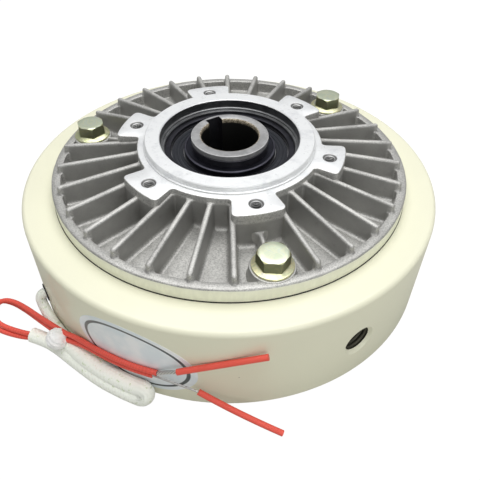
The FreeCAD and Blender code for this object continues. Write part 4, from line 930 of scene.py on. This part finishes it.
def add_rim(work, cast, flange, gap_shade):
    """The rim: its inner wall stands in beside each fin, its edge is broken, its side is turned."""
    corner, fin_half = 1.9, 1.55
    angles = []
    for angle in FIN_ANGLES:
        for offset in (0.0, 1.2, 1.56, 1.75, 1.95, 2.2, 2.5, 2.9, 3.45):
            angles += [angle + side * math.degrees(offset / RIM_INSIDE) for side in (-1, 1)]
        angles += [angle + 4.0, angle - 4.0, angle + 6.0]
    for angle in BOLT_ANGLES:
        angles += [angle + step for step in (-5.0, -3.0, 0.0, 3.0, 5.0)]
    rows = []
    for angle in sorted({round(angle % 360.0, 3) for angle in angles}):
        nearest = min(abs((angle - fin + 180.0) % 360.0 - 180.0) for fin in FIN_ANGLES)
        inner = RIM_INSIDE - flare(math.radians(nearest) * RIM_INSIDE - fin_half, corner)
        spin = math.radians(angle)
        wobble = 0.10 * math.sin(spin * 23.0) + 0.07 * math.sin(spin * 57.0 + 1.0)
        section = [
            (inner - 1.8, SUNK_LEVEL), (inner - 1.8, FLOOR_LEVEL), (inner - 0.75, FLOOR_LEVEL + 0.4),
            (inner - 0.2, FLOOR_LEVEL + 1.5), (inner, FLOOR_LEVEL + 3.0), (inner + 0.1, RIM_TOP - 0.7),
            (inner + 0.3, RIM_TOP - 0.2), (inner + 0.75, RIM_TOP), (91.9 + wobble, RIM_TOP),
            (92.4 + wobble * 0.6, RIM_TOP - 0.25), (92.7, RIM_TOP - 0.75 + wobble),
            (RIM_OUTSIDE, RIM_TOP - 1.3 + wobble), (RIM_OUTSIDE, 54.0), (92.72, 53.55), (93.05, 53.1),
            (92.95, BODY_TOP + 0.02), (89.6, BODY_TOP + 0.02)]
        rows.append([polar(r, angle, z) for r, z in section])
    # Painted shadow: the two lines where the flange's foot meets the body are dark.
    side_start, side_end, gap_shade_end = 10, 13, 15

    def finish(step, line):
        if side_start <= line < side_end:
            return flange
        return gap_shade if side_end <= line < gap_shade_end else cast

    add_grid(work, rows, closed_rows=True, closed_columns=True, paint=finish)


def add_bosses(work, cast):
    """A boss under each bolt and the short rib that ties it to the pad."""
    rib_start, rib_round, rib_top = 60.3, 2.6, 62.6
    boss = [(0.0, BOSS_TOP), (9.9, BOSS_TOP), (10.2, BOSS_TOP - 0.15), (10.45, BOSS_TOP - 0.6), (10.7, 57.6),
            (10.9, 56.4), (11.15, 55.5), (11.5, FLOOR_LEVEL), (11.5, SUNK_LEVEL), (0.0, SUNK_LEVEL)]
    for angle in BOLT_ANGLES:
        add_dome(work, boss, paint=cast, steps=72, centre=polar(BOLT_CIRCLE, angle))
        rows = []
        for out in (58.0, rib_start, 60.5, 60.8, 61.2, 61.8, 62.6, 64.0, 67.0, 70.5, 72.5):
            more = flare(out - rib_start, rib_round)
            top = rib_top - max(0.0, out - 62.0) * 0.08
            rows.append((out, 1.25 + more, 1.5 + more, top, 1.5))
        rib = bmesh.new()
        add_fin_walls(rib, rows, cast)
        turn = Matrix.Rotation(math.radians(angle), 3, "Z")
        bmesh.ops.rotate(rib, cent=(0, 0, 0), matrix=turn, verts=rib.verts)
        mesh = bpy.data.meshes.new("rib")
        rib.to_mesh(mesh)
        rib.free()
        work.from_mesh(mesh)
        bpy.data.meshes.remove(mesh)


class BRAKE_OT_cover(bpy.types.Operator):
    """The cast front cover: floor, hub, star of pads, pilot, rim and bolt bosses"""

    bl_idname = "powder_brake.cover"
    bl_label = "Front cover"

    def execute(self, context):
        cast, machined, flange, bore_shade, threaded, gap_shade, boss = range(7)
        base = [
            (24.0, 43.0), (42.0, 43.0), (42.0, 50.1), (88.9, 50.1), (88.9, 54.6), (88.6, FLOOR_LEVEL),
            (47.6, FLOOR_LEVEL), (46.0, PAD_TOP - 0.02), (44.75, PAD_TOP - 0.02), (44.75, 73.05),
            (44.6, 73.35), (44.0, 73.6), (44.0, 74.3), (43.72, 74.45), (44.0, 74.6), (44.0, 75.3),
            (43.72, 75.45), (44.0, 75.6), (44.0, 76.15), (43.55, PILOT_TOP), (36.6, PILOT_TOP),
            (36.2, PILOT_TOP - 0.4), (36.2, 71.9), (35.75, 71.5), (35.35, 71.45), (35.25, 70.95),
            (34.85, 70.9), (34.3, 70.85), (34.0, 70.5), (34.0, 69.6), (35.5, 69.6), (35.5, 67.0),
            (34.0, 67.0), (34.0, 52.0), (31.5, 52.0), (31.5, 50.0), (28.0, 50.0), (28.0, 45.0),
            (24.0, 45.0)]
        # Painted shade: the opening's wall inside the pilot gets the dark fourth finish.
        pilot_start, opening_start, turned_end = 9, 21, 30

        def finish(step, line):
            if pilot_start <= line < opening_start:
                return machined
            return bore_shade if opening_start <= line < turned_end else cast

        work = bmesh.new()
        add_ring(work, base, paint=finish)
        add_star(work, cast, machined, threaded)
        add_rim(work, cast, flange, gap_shade)
        add_bosses(work, boss)
        cover = as_object("front_cover_casting", work, [
            *(finish_of(kind, context) for kind in ("cast", "machined", "flange")),
            # Painted shade for the opening's wall.
            plain_steel("bored_aluminium", (0.30, 0.305, 0.31), 0.30), threaded_metal(),
            # Painted shadow for the gap under the flange.
            rubber("joint_grime", (0.02, 0.019, 0.015), 0.6),
            cast_metal(context.scene.brake_colours, "cast_boss", 0.0)], 34.0)
        placed(cover, "stator", ["front_cover"])
        return {"FINISHED"}


def add_bolt(work, flat, centre, turn):
    """One flange bolt on its boss: hexagon head turned as it was left, cone flange, shank below."""
    steps = 96
    top = BOSS_TOP + 7.9
    flange_top = BOSS_TOP + 1.9
    corner = flat / math.cos(math.radians(28.5))
    rows = []
    for step in range(steps):
        angle = 360.0 * step / steps
        inside = (angle + 30.0) % 60.0 - 30.0
        hexagon = min(flat / math.cos(math.radians(inside)), corner)
        drop = (hexagon - flat * 0.985) * 0.62
        foot = flange_top + 0.15 - (hexagon - flat) * 0.25
        section = [
            (flat * 0.55, top), (flat * 0.90, top), (flat * 0.955, top - 0.08), (hexagon - 0.06, top - drop),
            (hexagon, top - drop - 0.12), (hexagon, foot + 0.5), (hexagon + 0.12, foot + 0.15),
            (hexagon + 0.45, foot), (8.95, BOSS_TOP + 1.15), (9.4, BOSS_TOP + 1.0), (9.6, BOSS_TOP + 0.75),
            (9.6, BOSS_TOP + 0.3), (9.45, BOSS_TOP + 0.05), (9.2, BOSS_TOP), (4.0, BOSS_TOP), (4.0, 43.4)]
        rows.append([polar(r, angle + turn, z) + centre for r, z in section])
    verts = add_grid(work, rows, closed_rows=True)
    for end in (0, -1):
        work.faces.new([row[end] for row in verts])


class BRAKE_OT_bolts(bpy.types.Operator):
    """Three flange bolts that hold the front cover"""

    bl_idname = "powder_brake.bolts"
    bl_label = "Cover bolts"

    def execute(self, context):
        work = bmesh.new()
        flat = context.scene.brake_sizes.bolt_across_flats / MM / 2
        for angle, turn in zip(BOLT_ANGLES, BOLT_TURNS):
            add_bolt(work, flat, polar(BOLT_CIRCLE, angle), turn)
        bolts = as_object("flange_bolts", work, [finish_of("zinc", context)], 28.0)
        placed(bolts, "stator", ["cover_bolts"])
        return {"FINISHED"}


class BRAKE_OT_shaft(bpy.types.Operator):
    """The hollow keyed shaft and its collar"""

    bl_idname = "powder_brake.shaft"
    bl_label = "Hollow shaft"

    def execute(self, context):
        ground, darkened, bore, rubbed_and_highlighted = range(4)
        finishes = [
            plain_steel("ground_steel", (0.56, 0.56, 0.56), 0.30, metal=0.65),
            # The second finish is a darker band, for segments 14 to 17 and the keyway.
            plain_steel("oiled_steel", (0.13, 0.13, 0.15), 0.38), rusty_bore(),
            plain_steel("rubbed_steel", (0.92, 0.92, 0.91), 0.25, metal=0.5)]
        profile = [
            (15.9, 1.0), (19.2, 1.0), (20.0, 1.8), (20.0, 4.15), (18.75, 4.15), (18.75, 6.0), (20.0, 6.0),
            (20.0, 21.0), (22.0, 21.0), (22.0, 31.5), (37.0, 31.5), (37.0, 36.5), (22.0, 36.5), (22.0, 52.0),
            (20.0, 52.0), (20.0, 73.6), (19.8, 73.75), (19.8, 74.0), (20.0, 74.15), (20.0, 76.5),
            (19.72, 76.8), (15.55, 76.8), (15.3, 76.7), (15.0, 76.2), (15.0, 1.9)]
        work = bmesh.new()
        # Painted highlight: segment 19, the band just below the top, gets the bright fourth finish.
        finish = {19: rubbed_and_highlighted, **dict.fromkeys(range(14, 18), darkened), **dict.fromkeys(range(21, 25), bore)}
        add_ring(work, profile, paint=lambda i, j: finish.get(j, ground))
        shaft = as_object("keyed_shaft", work, finishes, 20.0)
        work = bmesh.new()
        corners = [(0.0, -4.0), (18.3, -4.0), (18.3, 4.0), (0.0, 4.0)]
        turn = Matrix.Rotation(math.radians(KEY_ANGLE), 3, "Z")
        rows = [[turn @ Vector((x, y, z)) for x, y in corners] for z in (-5.0, 90.0)]
        add_ends(work, add_grid(work, rows, closed_columns=True))
        cut_with(shaft, as_object("key_cutter", work, [finishes[darkened]]))
        placed(shaft, "rotor", ["hollow_shaft"])
        collar = [
            (20.02, 67.0), (24.0, 67.0), (24.0, 69.75), (23.8, 70.1), (23.5, 70.2), (22.9, 70.2),
            (22.6, 70.0), (21.3, 70.0), (20.02, 70.0)]
        work = bmesh.new()
        # Painted highlight: the collar's rounded top edge gets the lighter second finish.
        add_ring(work, collar, paint=lambda i, j: 1 if j in (2, 3, 4) else 0)
        edge = plain_steel("rubbed_edge", (0.10, 0.10, 0.125), 0.34)
        black = plain_steel("collar_black", (0.035, 0.036, 0.048), 0.34)
        ring = as_object("shaft_collar_ring", work, [black, edge], 24.0)
        placed(ring, "rotor", ["shaft_collar"])
        return {"FINISHED"}


class BRAKE_OT_seals(bpy.types.Operator):
    """The front bearing's ribbed seal and the sprung ring above it"""

    bl_idname = "powder_brake.seals"
    bl_label = "Seals and rings"

    def execute(self, context):
        black = rubber("seal_black", (0.016, 0.018, 0.024), 0.34)
        oxide = plain_steel("black_oxide", (0.055, 0.055, 0.065), 0.36)
        outer_face = [
            (24.52, -1.2), (24.52, -0.25), (24.9, -0.05), (25.6, -0.05), (25.8, -0.3), (26.4, -0.3),
            (26.6, 0.0), (27.6, 0.0), (27.8, -0.22), (28.2, -0.22), (28.4, 0.0), (29.3, 0.0),
            (29.5, -0.3), (30.0, -0.3), (30.45, -0.1), (30.45, -1.15), (28.0, -1.2)]
        inner_face = [
            (24.52, -13.8), (30.45, -13.8), (30.45, -14.95), (28.0, -15.0), (24.9, -15.0), (24.52, -14.75)]
        for side, level, way in (("front", 67.0, 1.0), ("rear", 6.0, -1.0)):
            work = bmesh.new()
            for face, steps in ((outer_face, 192), (inner_face, 96)):
                add_ring(work, [(r, level + way * z) for r, z in face], steps=steps)
            seals = as_object(f"{side}_ribbed_seals", work, [black], 24.0)
            placed(seals, "stator", [f"{side}_bearing_seals"])
        for side, low in (("front", 67.05), ("rear", 3.45)):
            ring = retaining_ring(f"{side}_sprung_ring", oxide, low, thickness=2.4, inner=31.0, outer=35.4,
                                  ear_place=29.8)
            placed(ring, "stator", [f"{side}_retaining_ring"])
        ring = retaining_ring("shaft_sprung_ring", oxide, low=4.3, thickness=1.65, inner=18.85, outer=22.9,
                              ear_place=23.0)
        placed(ring, "rotor", ["shaft_retaining_ring"])
        return {"FINISHED"}


def retaining_ring(name, material, low, thickness, inner, outer, ear_place):
    """A sprung ring with a gap towards the front bolt and a drilled ear each side of it."""
    high = low + thickness
    section = sections([(inner, low), (outer, low), (outer, high), (inner, high)], 0.2, 2)
    ear = sections([(1.25, low), (2.6, low), (2.6, high), (1.25, high)], 0.15, 2)
    half_gap, ear_offset = 5.0, 7.6
    gap = math.degrees(math.asin(half_gap / inner)) + 1.0
    steps = 120
    rows = []
    for step in range(steps + 1):
        angle = FRONT_BOLT_ANGLE + gap + (360.0 - 2 * gap) * step / steps
        rows.append([polar(r, angle, z) for r, z in section])
    work = bmesh.new()
    add_ends(work, add_grid(work, rows, closed_columns=True))
    for side in (-1, 1):
        add_ring(work, ear, steps=28, centre=Vector((side * ear_offset, -ear_place, 0.0)))
    return as_object(name, work, [material], 30.0)


class BRAKE_OT_rear(bpy.types.Operator):
    """The rear cover with its shallow ribs, and its screws"""

    bl_idname = "powder_brake.rear"
    bl_label = "Rear cover"

    def execute(self, context):
        cast, machined, turned_lines = 0, 1, (12, 20)
        profile = [
            (24.0, 30.0), (24.0, 28.0), (28.0, 28.0), (28.0, 23.0), (31.5, 23.0), (31.5, 21.0), (34.0, 21.0),
            (34.0, 6.0), (35.5, 6.0), (35.5, 3.4), (34.0, 3.4), (34.0, 1.6), (34.6, REAR_FACE),
            (41.2, REAR_FACE), (41.8, 1.4), (42.2, 3.2), (43.2, 4.0), (88.6, 4.0), (89.7, 3.2), (90.1, 1.4),
            (90.7, REAR_FACE), (100.4, REAR_FACE), (100.95, 1.5), (100.95, 7.0), (69.95, 7.0), (69.95, 10.0),
            (42.0, 10.0), (42.0, 30.0)]
        countersink = [
            (0.0, 0.4), (3.3, 0.4), (3.3, REAR_FACE - 0.05), (3.1, REAR_FACE + 0.1), (1.7, 2.5), (1.7, 6.4),
            (0.0, 6.4)]
        screw = [
            (0.0, 2.2), (1.3, 2.2), (1.45, 1.15), (2.75, 1.1), (2.9, 1.25), (1.5, 2.45), (1.5, 13.0),
            (0.0, 13.0)]
        work = bmesh.new()
        add_ring(work, profile, paint=lambda i, j: machined if j in turned_lines else cast)
        finishes = [finish_of("cast", context), finish_of("machined", context)]
        cover = as_object("rear_cover_casting", work, finishes, 34.0)
        cut_with(cover, as_object("cutter", self.six(countersink), []))
        placed(cover, "stator", ["rear_cover"])
        ribs = set_around("rear_ribs", self.rib(), {
            "Count": REAR_RIBS, "Start angle": 0.0, "Pitch": 360.0 / REAR_RIBS, "Group size": REAR_RIBS,
            "Group pitch": 0.0, "Material": finish_of("cast", context)})
        placed(ribs, "stator", ())
        screws = as_object("rear_screws", self.six(screw), [finish_of("zinc", context)], 28.0)
        placed(screws, "stator", ["rear_cover_screws"])
        return {"FINISHED"}

    def six(self, section):
        """A turned shape at each of the six screw places."""
        work = bmesh.new()
        for step in range(6):
            centre = polar(REAR_SCREW_CIRCLE, FRONT_BOLT_ANGLE + 60.0 * step)
            add_dome(work, section, steps=36, centre=centre)
        return work

    def rib(self):
        """One shallow rib, along the x axis."""
        section = [
            (-3.0, 4.6), (-2.6, 4.0), (-1.7, 3.3), (-1.4, 1.5), (-1.0, 1.12), (0.0, 1.02),
            (1.0, 1.12), (1.4, 1.5), (1.7, 3.3), (2.6, 4.0), (3.0, 4.6)]
        rows = [[Vector((out, y, z)) for y, z in section]
                for out in (41.0, 43.0, 46.0, 60.0, 75.0, 86.0, 89.0, 91.0)]
        work = bmesh.new()
        add_ends(work, add_grid(work, rows, closed_columns=True))
        return as_mesh("rear_rib_source", work)


SLEEVE_ROUTE = [
    (110.1, 197.0, 17.0), (111.3, 197.0, 17.0), (113.0, 197.1, 15.4), (113.2, 197.9, 13.0),
    (113.1, 199.4, 11.2), (113.0, 201.9, 9.8), (112.9, 205.4, 8.9), (113.1, 209.3, 8.5), (113.5, 216.5, 8.45),
    (113.7, 224.5, 8.5), (113.8, 231.0, 8.6), (113.8, 235.2, 8.65), (113.8, 236.4, 8.65),
    (114.3, 237.2, 7.45), (115.1, 237.2, 5.75), (115.7, 236.4, 4.25), (115.7, 235.2, 4.25),
    (115.6, 231.0, 4.25), (115.6, 224.5, 4.25), (115.6, 215.6, 4.2), (116.8, 210.2, 4.0),
    (119.6, 205.7, 3.8), (123.8, 202.6, 3.9),
]
SLEEVE_FATNESS = [0.92] * 5 + [0.95, 1.0, 1.14] + [1.42] * 11 + [1.36, 1.28, 1.25, 1.3]
UPPER_LEAD_ROUTE = [
    (123.8, 202.6, 4.3), (127.0, 201.0, 4.1), (135.1, 196.2, 3.3), (137.4, 193.7, 3.4),
    (137.7, 191.2, 3.9), (135.1, 189.8, 5.1), (130.5, 190.0, 6.7), (125.2, 192.7, 8.6),
    (121.0, 196.9, 10.6), (117.9, 201.4, 12.3), (115.8, 205.2, 13.7), (114.0, 208.7, 14.4),
    (113.0, 212.0, 15.6), (111.4, 215.8, 17.2), (111.1, 220.0, 18.7), (111.1, 225.0, 20.0),
    (111.1, 230.2, 20.5), (111.1, 235.4, 20.8), (111.1, 239.9, 21.4),
]
LOWER_LEAD_ROUTE = [
    (123.8, 202.6, 1.6), (127.6, 201.3, 1.4), (136.7, 196.7, 1.35), (139.5, 194.1, 1.35),
    (140.2, 191.0, 1.35), (138.4, 188.6, 1.7), (133.0, 188.2, 2.9), (126.7, 191.2, 5.1),
    (121.8, 195.8, 7.3), (118.6, 200.5, 9.2), (116.6, 204.4, 10.6), (115.0, 208.1, 11.4),
    (114.7, 211.6, 12.3), (112.2, 215.4, 13.7), (111.2, 219.6, 15.7), (111.1, 224.0, 16.9),
    (111.1, 229.0, 17.5), (111.1, 234.0, 17.8), (111.1, 238.6, 18.4),
]
UPPER_STRAND_ROUTE = [(111.1, 239.9, 21.4), (111.6, 242.4, 25.0), (112.8, 245.2, 28.5)]
LOWER_STRAND_ROUTE = [(111.1, 238.6, 18.4), (111.8, 244.0, 17.4), (112.9, 249.7, 15.2)]
UPPER_STRIPPED_ROUTE = [(112.8, 245.2, 28.5), (112.8, 265.0, 41.0)]
LOWER_STRIPPED_ROUTE = [(112.9, 249.7, 15.2), (118.7, 258.3, 8.0), (127.1, 267.5, 1.45)]
STRIPPED_DIAMETER = 0.0029


def spline_points(route, per_run=16):
    """Points on the smooth curve that a route of control points gives."""
    control = [polar(*point) for point in route]
    if len(control) == 2:
        return [control[0].lerp(control[1], step / per_run) for step in range(per_run + 1)]
    joints = [control[0]]
    joints += [(a + b) / 2 for a, b in zip(control[1:-2], control[2:-1])]
    joints.append(control[-1])
    points = [control[0]]
    for start, middle, end in zip(joints, control[1:-1], joints[1:]):
        for step in range(1, per_run + 1):
            share = step / per_run
            points.append(start.lerp(middle, share).lerp(middle.lerp(end, share), share))
    return points


def run_length(route):
    """How long a route is, in millimetres."""
    points = spline_points(route)
    return sum((b - a).length for a, b in zip(points, points[1:]))


def cord_curve(name, route, radius, material, rings=4, fatness=None):
    """A round cord along a route, as a smooth curve with closed ends, fatter or thinner at each point."""
    curve = bpy.data.curves.new(name, "CURVE")
    curve.dimensions = "3D"
    curve.bevel_depth = radius * MM
    curve.bevel_resolution = rings
    curve.use_fill_caps = True
    curve.resolution_u = 12
    spline = curve.splines.new("NURBS")
    spline.points.add(len(route) - 1)
    for point, place in zip(spline.points, route):
        point.co = (*(polar(*place) * MM), 1.0)
    for point, share in zip(spline.points, fatness or []):
        point.radius = share
    spline.order_u = min(3, len(route))
    spline.use_endpoint_u = True
    curve.materials.append(material)
    return linked(name, curve)


class BRAKE_OT_leads(bpy.types.Operator):
    """The folded sleeve, the two leads, their stripped ends, the tie and the rubber bush"""

    bl_idname = "powder_brake.leads"
    bl_label = "Lead-out"

    def execute(self, context):
        sizes = context.scene.brake_sizes
        sleeve_length = run_length(SLEEVE_ROUTE)
        sleeve = cord_curve("woven_sleeve", SLEEVE_ROUTE, sizes.sleeve_diameter / MM / 2,
                            woven_sleeve(sleeve_length), 8, SLEEVE_FATNESS)
        placed(sleeve, "stator", ["lead_sleeve"])
        insulation = silicone(tuple(context.scene.brake_colours.lead))
        ends = (
            ("upper", UPPER_LEAD_ROUTE, UPPER_STRAND_ROUTE, 0.9, UPPER_STRIPPED_ROUTE),
            ("lower", LOWER_LEAD_ROUTE, LOWER_STRAND_ROUTE, 0.5, LOWER_STRIPPED_ROUTE))
        for side, route, strand_route, strand_radius, stripped_route in ends:
            lead = cord_curve(f"{side}_red_lead", route, sizes.lead_diameter / MM / 2, insulation)
            placed(lead, "stator", [f"{side}_lead"])
            strand = cord_curve(f"{side}_bare_strands", strand_route, strand_radius,
                                strand_metal(run_length(strand_route)))
            placed(strand, "stator", [f"{side}_strand"])
            stripped = cord_curve(f"{side}_stripped_insulation", stripped_route,
                                  STRIPPED_DIAMETER / MM / 2, insulation)
            placed(stripped, "stator", [f"{side}_stripped_end"])
            polar(*route[0]) * MM
            run_length(route) * MM
            polar(*stripped_route[0]) * MM
            run_length(stripped_route) * MM
        polar(*SLEEVE_ROUTE[0]) * MM
        self.tie()
        self.bush()
        return {"FINISHED"}

    def tie(self):
        """A lumpy knot of white cord, wound round the sleeve and the leads."""
        centre, radius, lowest = polar(116.75, 210.8, 12.5), 5.2, 0.6
        work = bmesh.new()
        bmesh.ops.create_icosphere(work, subdivisions=5, radius=radius)
        for vert in work.verts:
            way = vert.co.normalized()
            wound = 0.22 * math.sin(way.x * 9.0 + way.z * 14.0)
            wound += 0.16 * math.sin(way.y * 17.0 - way.z * 9.0)
            vert.co = vert.co * (1.0 + wound * 0.16) + centre
            vert.co.z = max(vert.co.z, lowest)
        return placed(as_object("white_tie", work, [tie_cord()], 60.0), "stator", ["lead_tie"])

    def bush(self):
        """The rubber bush in the lead hole."""
        profile = [
            (0.0, 0.6), (4.0, 0.6), (4.55, 0.5), (4.75, 0.25), (4.8, 0.02), (3.95, 0.0), (3.95, -15.0),
            (0.0, -15.0)]
        work = bmesh.new()
        add_dome(work, profile, steps=40, centre=polar(BODY_RADIUS, LEAD_HOLE_ANGLE, LEAD_HOLE_LEVEL),
                 along=polar(1.0, LEAD_HOLE_ANGLE))
        bush = as_object("lead_bush", work, [rubber("bush_rubber", (0.03, 0.03, 0.03))], 30.0)
        return placed(bush, "stator", ["lead_grommet"])


class BRAKE_OT_label(bpy.types.Operator):
    """The bare oval label on the side of the body"""

    bl_idname = "powder_brake.label"
    bl_label = "Oval label"

    def execute(self, context):
        work = bmesh.new()
        layer = work.loops.layers.uv.new("UVMap")
        centre_angle, centre_level, tilt = 233.7, 25.7, math.radians(-12.0)
        long_half, short_half = 30.5, 19.5
        film, tucked = 0.12, 0.15
        rings, steps = 14, 96

        def on_body(share, turn, lift):
            x, y = share * long_half * math.cos(turn), share * short_half * math.sin(turn)
            across = x * math.cos(tilt) - y * math.sin(tilt)
            up = x * math.sin(tilt) + y * math.cos(tilt)
            angle = centre_angle + math.degrees(across / BODY_RADIUS)
            return polar(BODY_RADIUS + film + lift, angle, centre_level + up)

        centre = work.verts.new(on_body(0.0, 0.0, 0.0))
        rows = []
        for ring in range(1, rings + 1):
            share = ring / rings
            rows.append([work.verts.new(on_body(share, math.tau * s / steps, 0.0)) for s in range(steps)])
        rows.append([work.verts.new(on_body(1.0, math.tau * s / steps, -tucked)) for s in range(steps)])

        def paint_face(face, places):
            for loop, (share, turn) in zip(face.loops, places):
                loop[layer].uv = (0.5 + share * math.cos(turn) / 2, 0.5 + share * math.sin(turn) / 2)

        for s in range(steps):
            after = (s + 1) % steps
            one, two = math.tau * s / steps, math.tau * (s + 1) / steps
            face = work.faces.new((centre, rows[0][s], rows[0][after]))
            paint_face(face, ((0.0, one), (1 / rings, one), (1 / rings, two)))
            for r in range(rings):
                low, high = (r + 1) / rings, min(1.0, (r + 2) / rings)
                face = work.faces.new((rows[r][s], rows[r + 1][s], rows[r + 1][after], rows[r][after]))
                paint_face(face, ((low, one), (high, one), (high, two), (low, two)))
        work.faces.new(rows[-1])
        placed(as_object("oval_label", work, [label_film()], 40.0), "stator")
        return {"FINISHED"}


class BRAKE_OT_inner_parts(bpy.types.Operator):
    """Finishes for the pieces inside, which keep their exact shapes"""

    bl_idname = "powder_brake.inner_parts"
    bl_label = "Inner parts"

    def execute(self, context):
        polished = plain_steel("polished_steel", (0.66, 0.66, 0.68), 0.16)
        pole = plain_steel("pole_steel", (0.36, 0.36, 0.36), 0.42)
        screw = finish_of("zinc", context)
        finishes = {
            "rear_pole_ring": pole, "rotor_drum": pole, "rotor_screws": screw,
            "pole_spacer_ring": finish_of("machined", context),
            "coil_bobbin": moulded("bobbin_moulding", (0.05, 0.05, 0.055)),
            "coil_winding": self.winding(),
            "magnetic_powder": moulded("powder_grains", (0.045, 0.045, 0.045), 0.3, 0.7, 0.1),
            "front_powder_seal": moulded("wool_felt", (0.50, 0.48, 0.44), 0.5, 0.8, 0.2),
            "front_bearing_cage": moulded("cage_polyamide", (0.60, 0.52, 0.36), 2.0, 0.45),
        }
        finishes["rear_powder_seal"] = finishes["front_powder_seal"]
        finishes["rear_bearing_cage"] = finishes["front_bearing_cage"]
        for side in ("front", "rear"):
            for part in ("inner_ring", "outer_ring", "balls"):
                finishes[f"{side}_bearing_{part}"] = polished
        for name, material in finishes.items():
            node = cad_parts[name]
            node.data.materials.clear()
            node.data.materials.append(material)
        return {"FINISHED"}

    def winding(self):
        """Enamelled wire, turn beside turn."""
        paint = Paint("enamelled_wire", Metallic=0.8)
        turns = (paint.level() * (math.tau / 0.9)).wave()
        paint.colour(paint.mixed(turns, (0.30, 0.09, 0.03), (0.75, 0.32, 0.14)))
        paint.rough(0.25 + turns * 0.1)
        paint.bump(turns, 0.2)
        return paint.material


EYE_MM = Vector((-53.90, -232.50, 228.40))
SIGHT = Vector((0.1815, 0.7018, -0.6889))
LENS = 40.31
SENSOR_WIDTH = 36.0
ROLL = math.radians(0.83)


class BRAKE_OT_stage(bpy.types.Operator):
    """A plain pale floor, soft lamps and the camera"""

    bl_idname = "powder_brake.stage"
    bl_label = "Stage"

    def execute(self, context):
        self.floor()
        self.sky(context)
        self.lamp("overhead", where=(0.05, 0.06, 0.95), towards=(0, 0, 0.05), size=1.1, watts=9.2)
        self.lamp("front", where=(0.10, -0.95, 0.42), towards=(0, 0, 0.03), size=0.6, watts=2.0)
        self.camera(context)
        return {"FINISHED"}

    def floor(self):
        """A wide floor that the camera sees as nearly white."""
        half_width, drop = 3000.0, 0.05
        work = bmesh.new()
        bmesh.ops.create_grid(work, x_segments=1, y_segments=1, size=half_width)
        for vert in work.verts:
            vert.co.z -= drop
        paint = Paint("pale_floor", Roughness=0.9)
        paint.colour((0.50, 0.50, 0.46))
        tree = paint.tree
        output = tree.nodes["Material Output"]
        rays = paint.add("ShaderNodeLightPath", {}, {})
        seen = Field(paint, rays.outputs["Is Camera Ray"])
        white = paint.add("ShaderNodeEmission", {}, {"Color": (1, 1, 1), "Strength": 1.14})
        both = paint.add("ShaderNodeMixShader", {}, {
            0: seen * 0.86, 1: paint.shader.outputs[0], 2: white.outputs[0]})
        tree.links.new(both.outputs[0], output.inputs["Surface"])
        as_object("floor", work, [paint.material], closed=False)

    def sky(self, context):
        """Even light from all sides, white to the camera."""
        world = bpy.data.worlds.new("studio")
        world.use_nodes = True
        context.scene.world = world
        tree = world.node_tree
        tree.nodes.clear()
        new = tree.nodes.new
        rays = new("ShaderNodeLightPath")
        light, seen = new("ShaderNodeBackground"), new("ShaderNodeBackground")
        light.inputs["Color"].default_value = (0.97, 0.98, 1.0, 1.0)
        light.inputs["Strength"].default_value = 0.34
        seen.inputs["Color"].default_value = (1, 1, 1, 1)
        mix, output = new("ShaderNodeMixShader"), new("ShaderNodeOutputWorld")
        tree.links.new(rays.outputs["Is Camera Ray"], mix.inputs[0])
        tree.links.new(light.outputs[0], mix.inputs[1])
        tree.links.new(seen.outputs[0], mix.inputs[2])
        tree.links.new(mix.outputs[0], output.inputs["Surface"])

    def lamp(self, name, where, towards, size, watts):
        """A soft round lamp."""
        light = bpy.data.lights.new(name, "AREA")
        light.shape = "DISK"
        light.size = size
        light.energy = watts
        lamp = linked(name, light)
        lamp.location = where
        aim = Vector(towards) - Vector(where)
        lamp.rotation_euler = aim.to_track_quat("-Z", "Y").to_euler()

    def camera(self, context):
        """The camera, above the front bolt and a little rolled."""
        data = bpy.data.cameras.new("camera")
        data.lens = LENS
        data.sensor_width = SENSOR_WIDTH
        data.clip_start = 0.01
        camera = linked("camera", data)
        sight = SIGHT.normalized()
        level_right = sight.cross(Vector((0, 0, 1))).normalized()
        level_up = level_right.cross(sight)
        right = level_right * math.cos(ROLL) + level_up * math.sin(ROLL)
        up = right.cross(sight)
        turn = Matrix((right, up, -sight)).transposed()
        camera.matrix_world = Matrix.Translation(EYE_MM * MM) @ turn.to_4x4()
        context.scene.camera = camera
        context.scene.view_settings.view_transform = "Standard"


class BRAKE_PT_panel(bpy.types.Panel):
    """Lists the steps that build the brake's looks"""

    bl_idname = "BRAKE_PT_panel"
    bl_label = "Powder brake"
    bl_space_type = "VIEW_3D"
    bl_region_type = "UI"
    bl_category = "Powder brake"

    def draw(self, context):
        for group in (context.scene.brake_sizes, context.scene.brake_colours):
            box = self.layout.box()
            for name in group.__annotations__:
                box.prop(group, name)
        for step in STEPS:
            self.layout.operator(step.bl_idname)


STEPS = (
    BRAKE_OT_body, BRAKE_OT_cover, BRAKE_OT_fins, BRAKE_OT_bolts, BRAKE_OT_shaft, BRAKE_OT_seals,
    BRAKE_OT_rear, BRAKE_OT_leads, BRAKE_OT_label, BRAKE_OT_inner_parts, BRAKE_OT_stage)
CLASSES = (BrakeSizes, BrakeColours, *STEPS, BRAKE_PT_panel)


def register():
    for kind in CLASSES:
        bpy.utils.register_class(kind)
    bpy.types.Scene.brake_sizes = bpy.props.PointerProperty(type=BrakeSizes)
    bpy.types.Scene.brake_colours = bpy.props.PointerProperty(type=BrakeColours)


def unregister():
    del bpy.types.Scene.brake_colours
    del bpy.types.Scene.brake_sizes
    for kind in reversed(CLASSES):
        bpy.utils.unregister_class(kind)


def main():
    """Builds the whole look."""
    register()
    for step in STEPS:
        family, name = step.bl_idname.split(".")
        getattr(getattr(bpy.ops, family), name)()


if __name__ == "__main__":
    main()
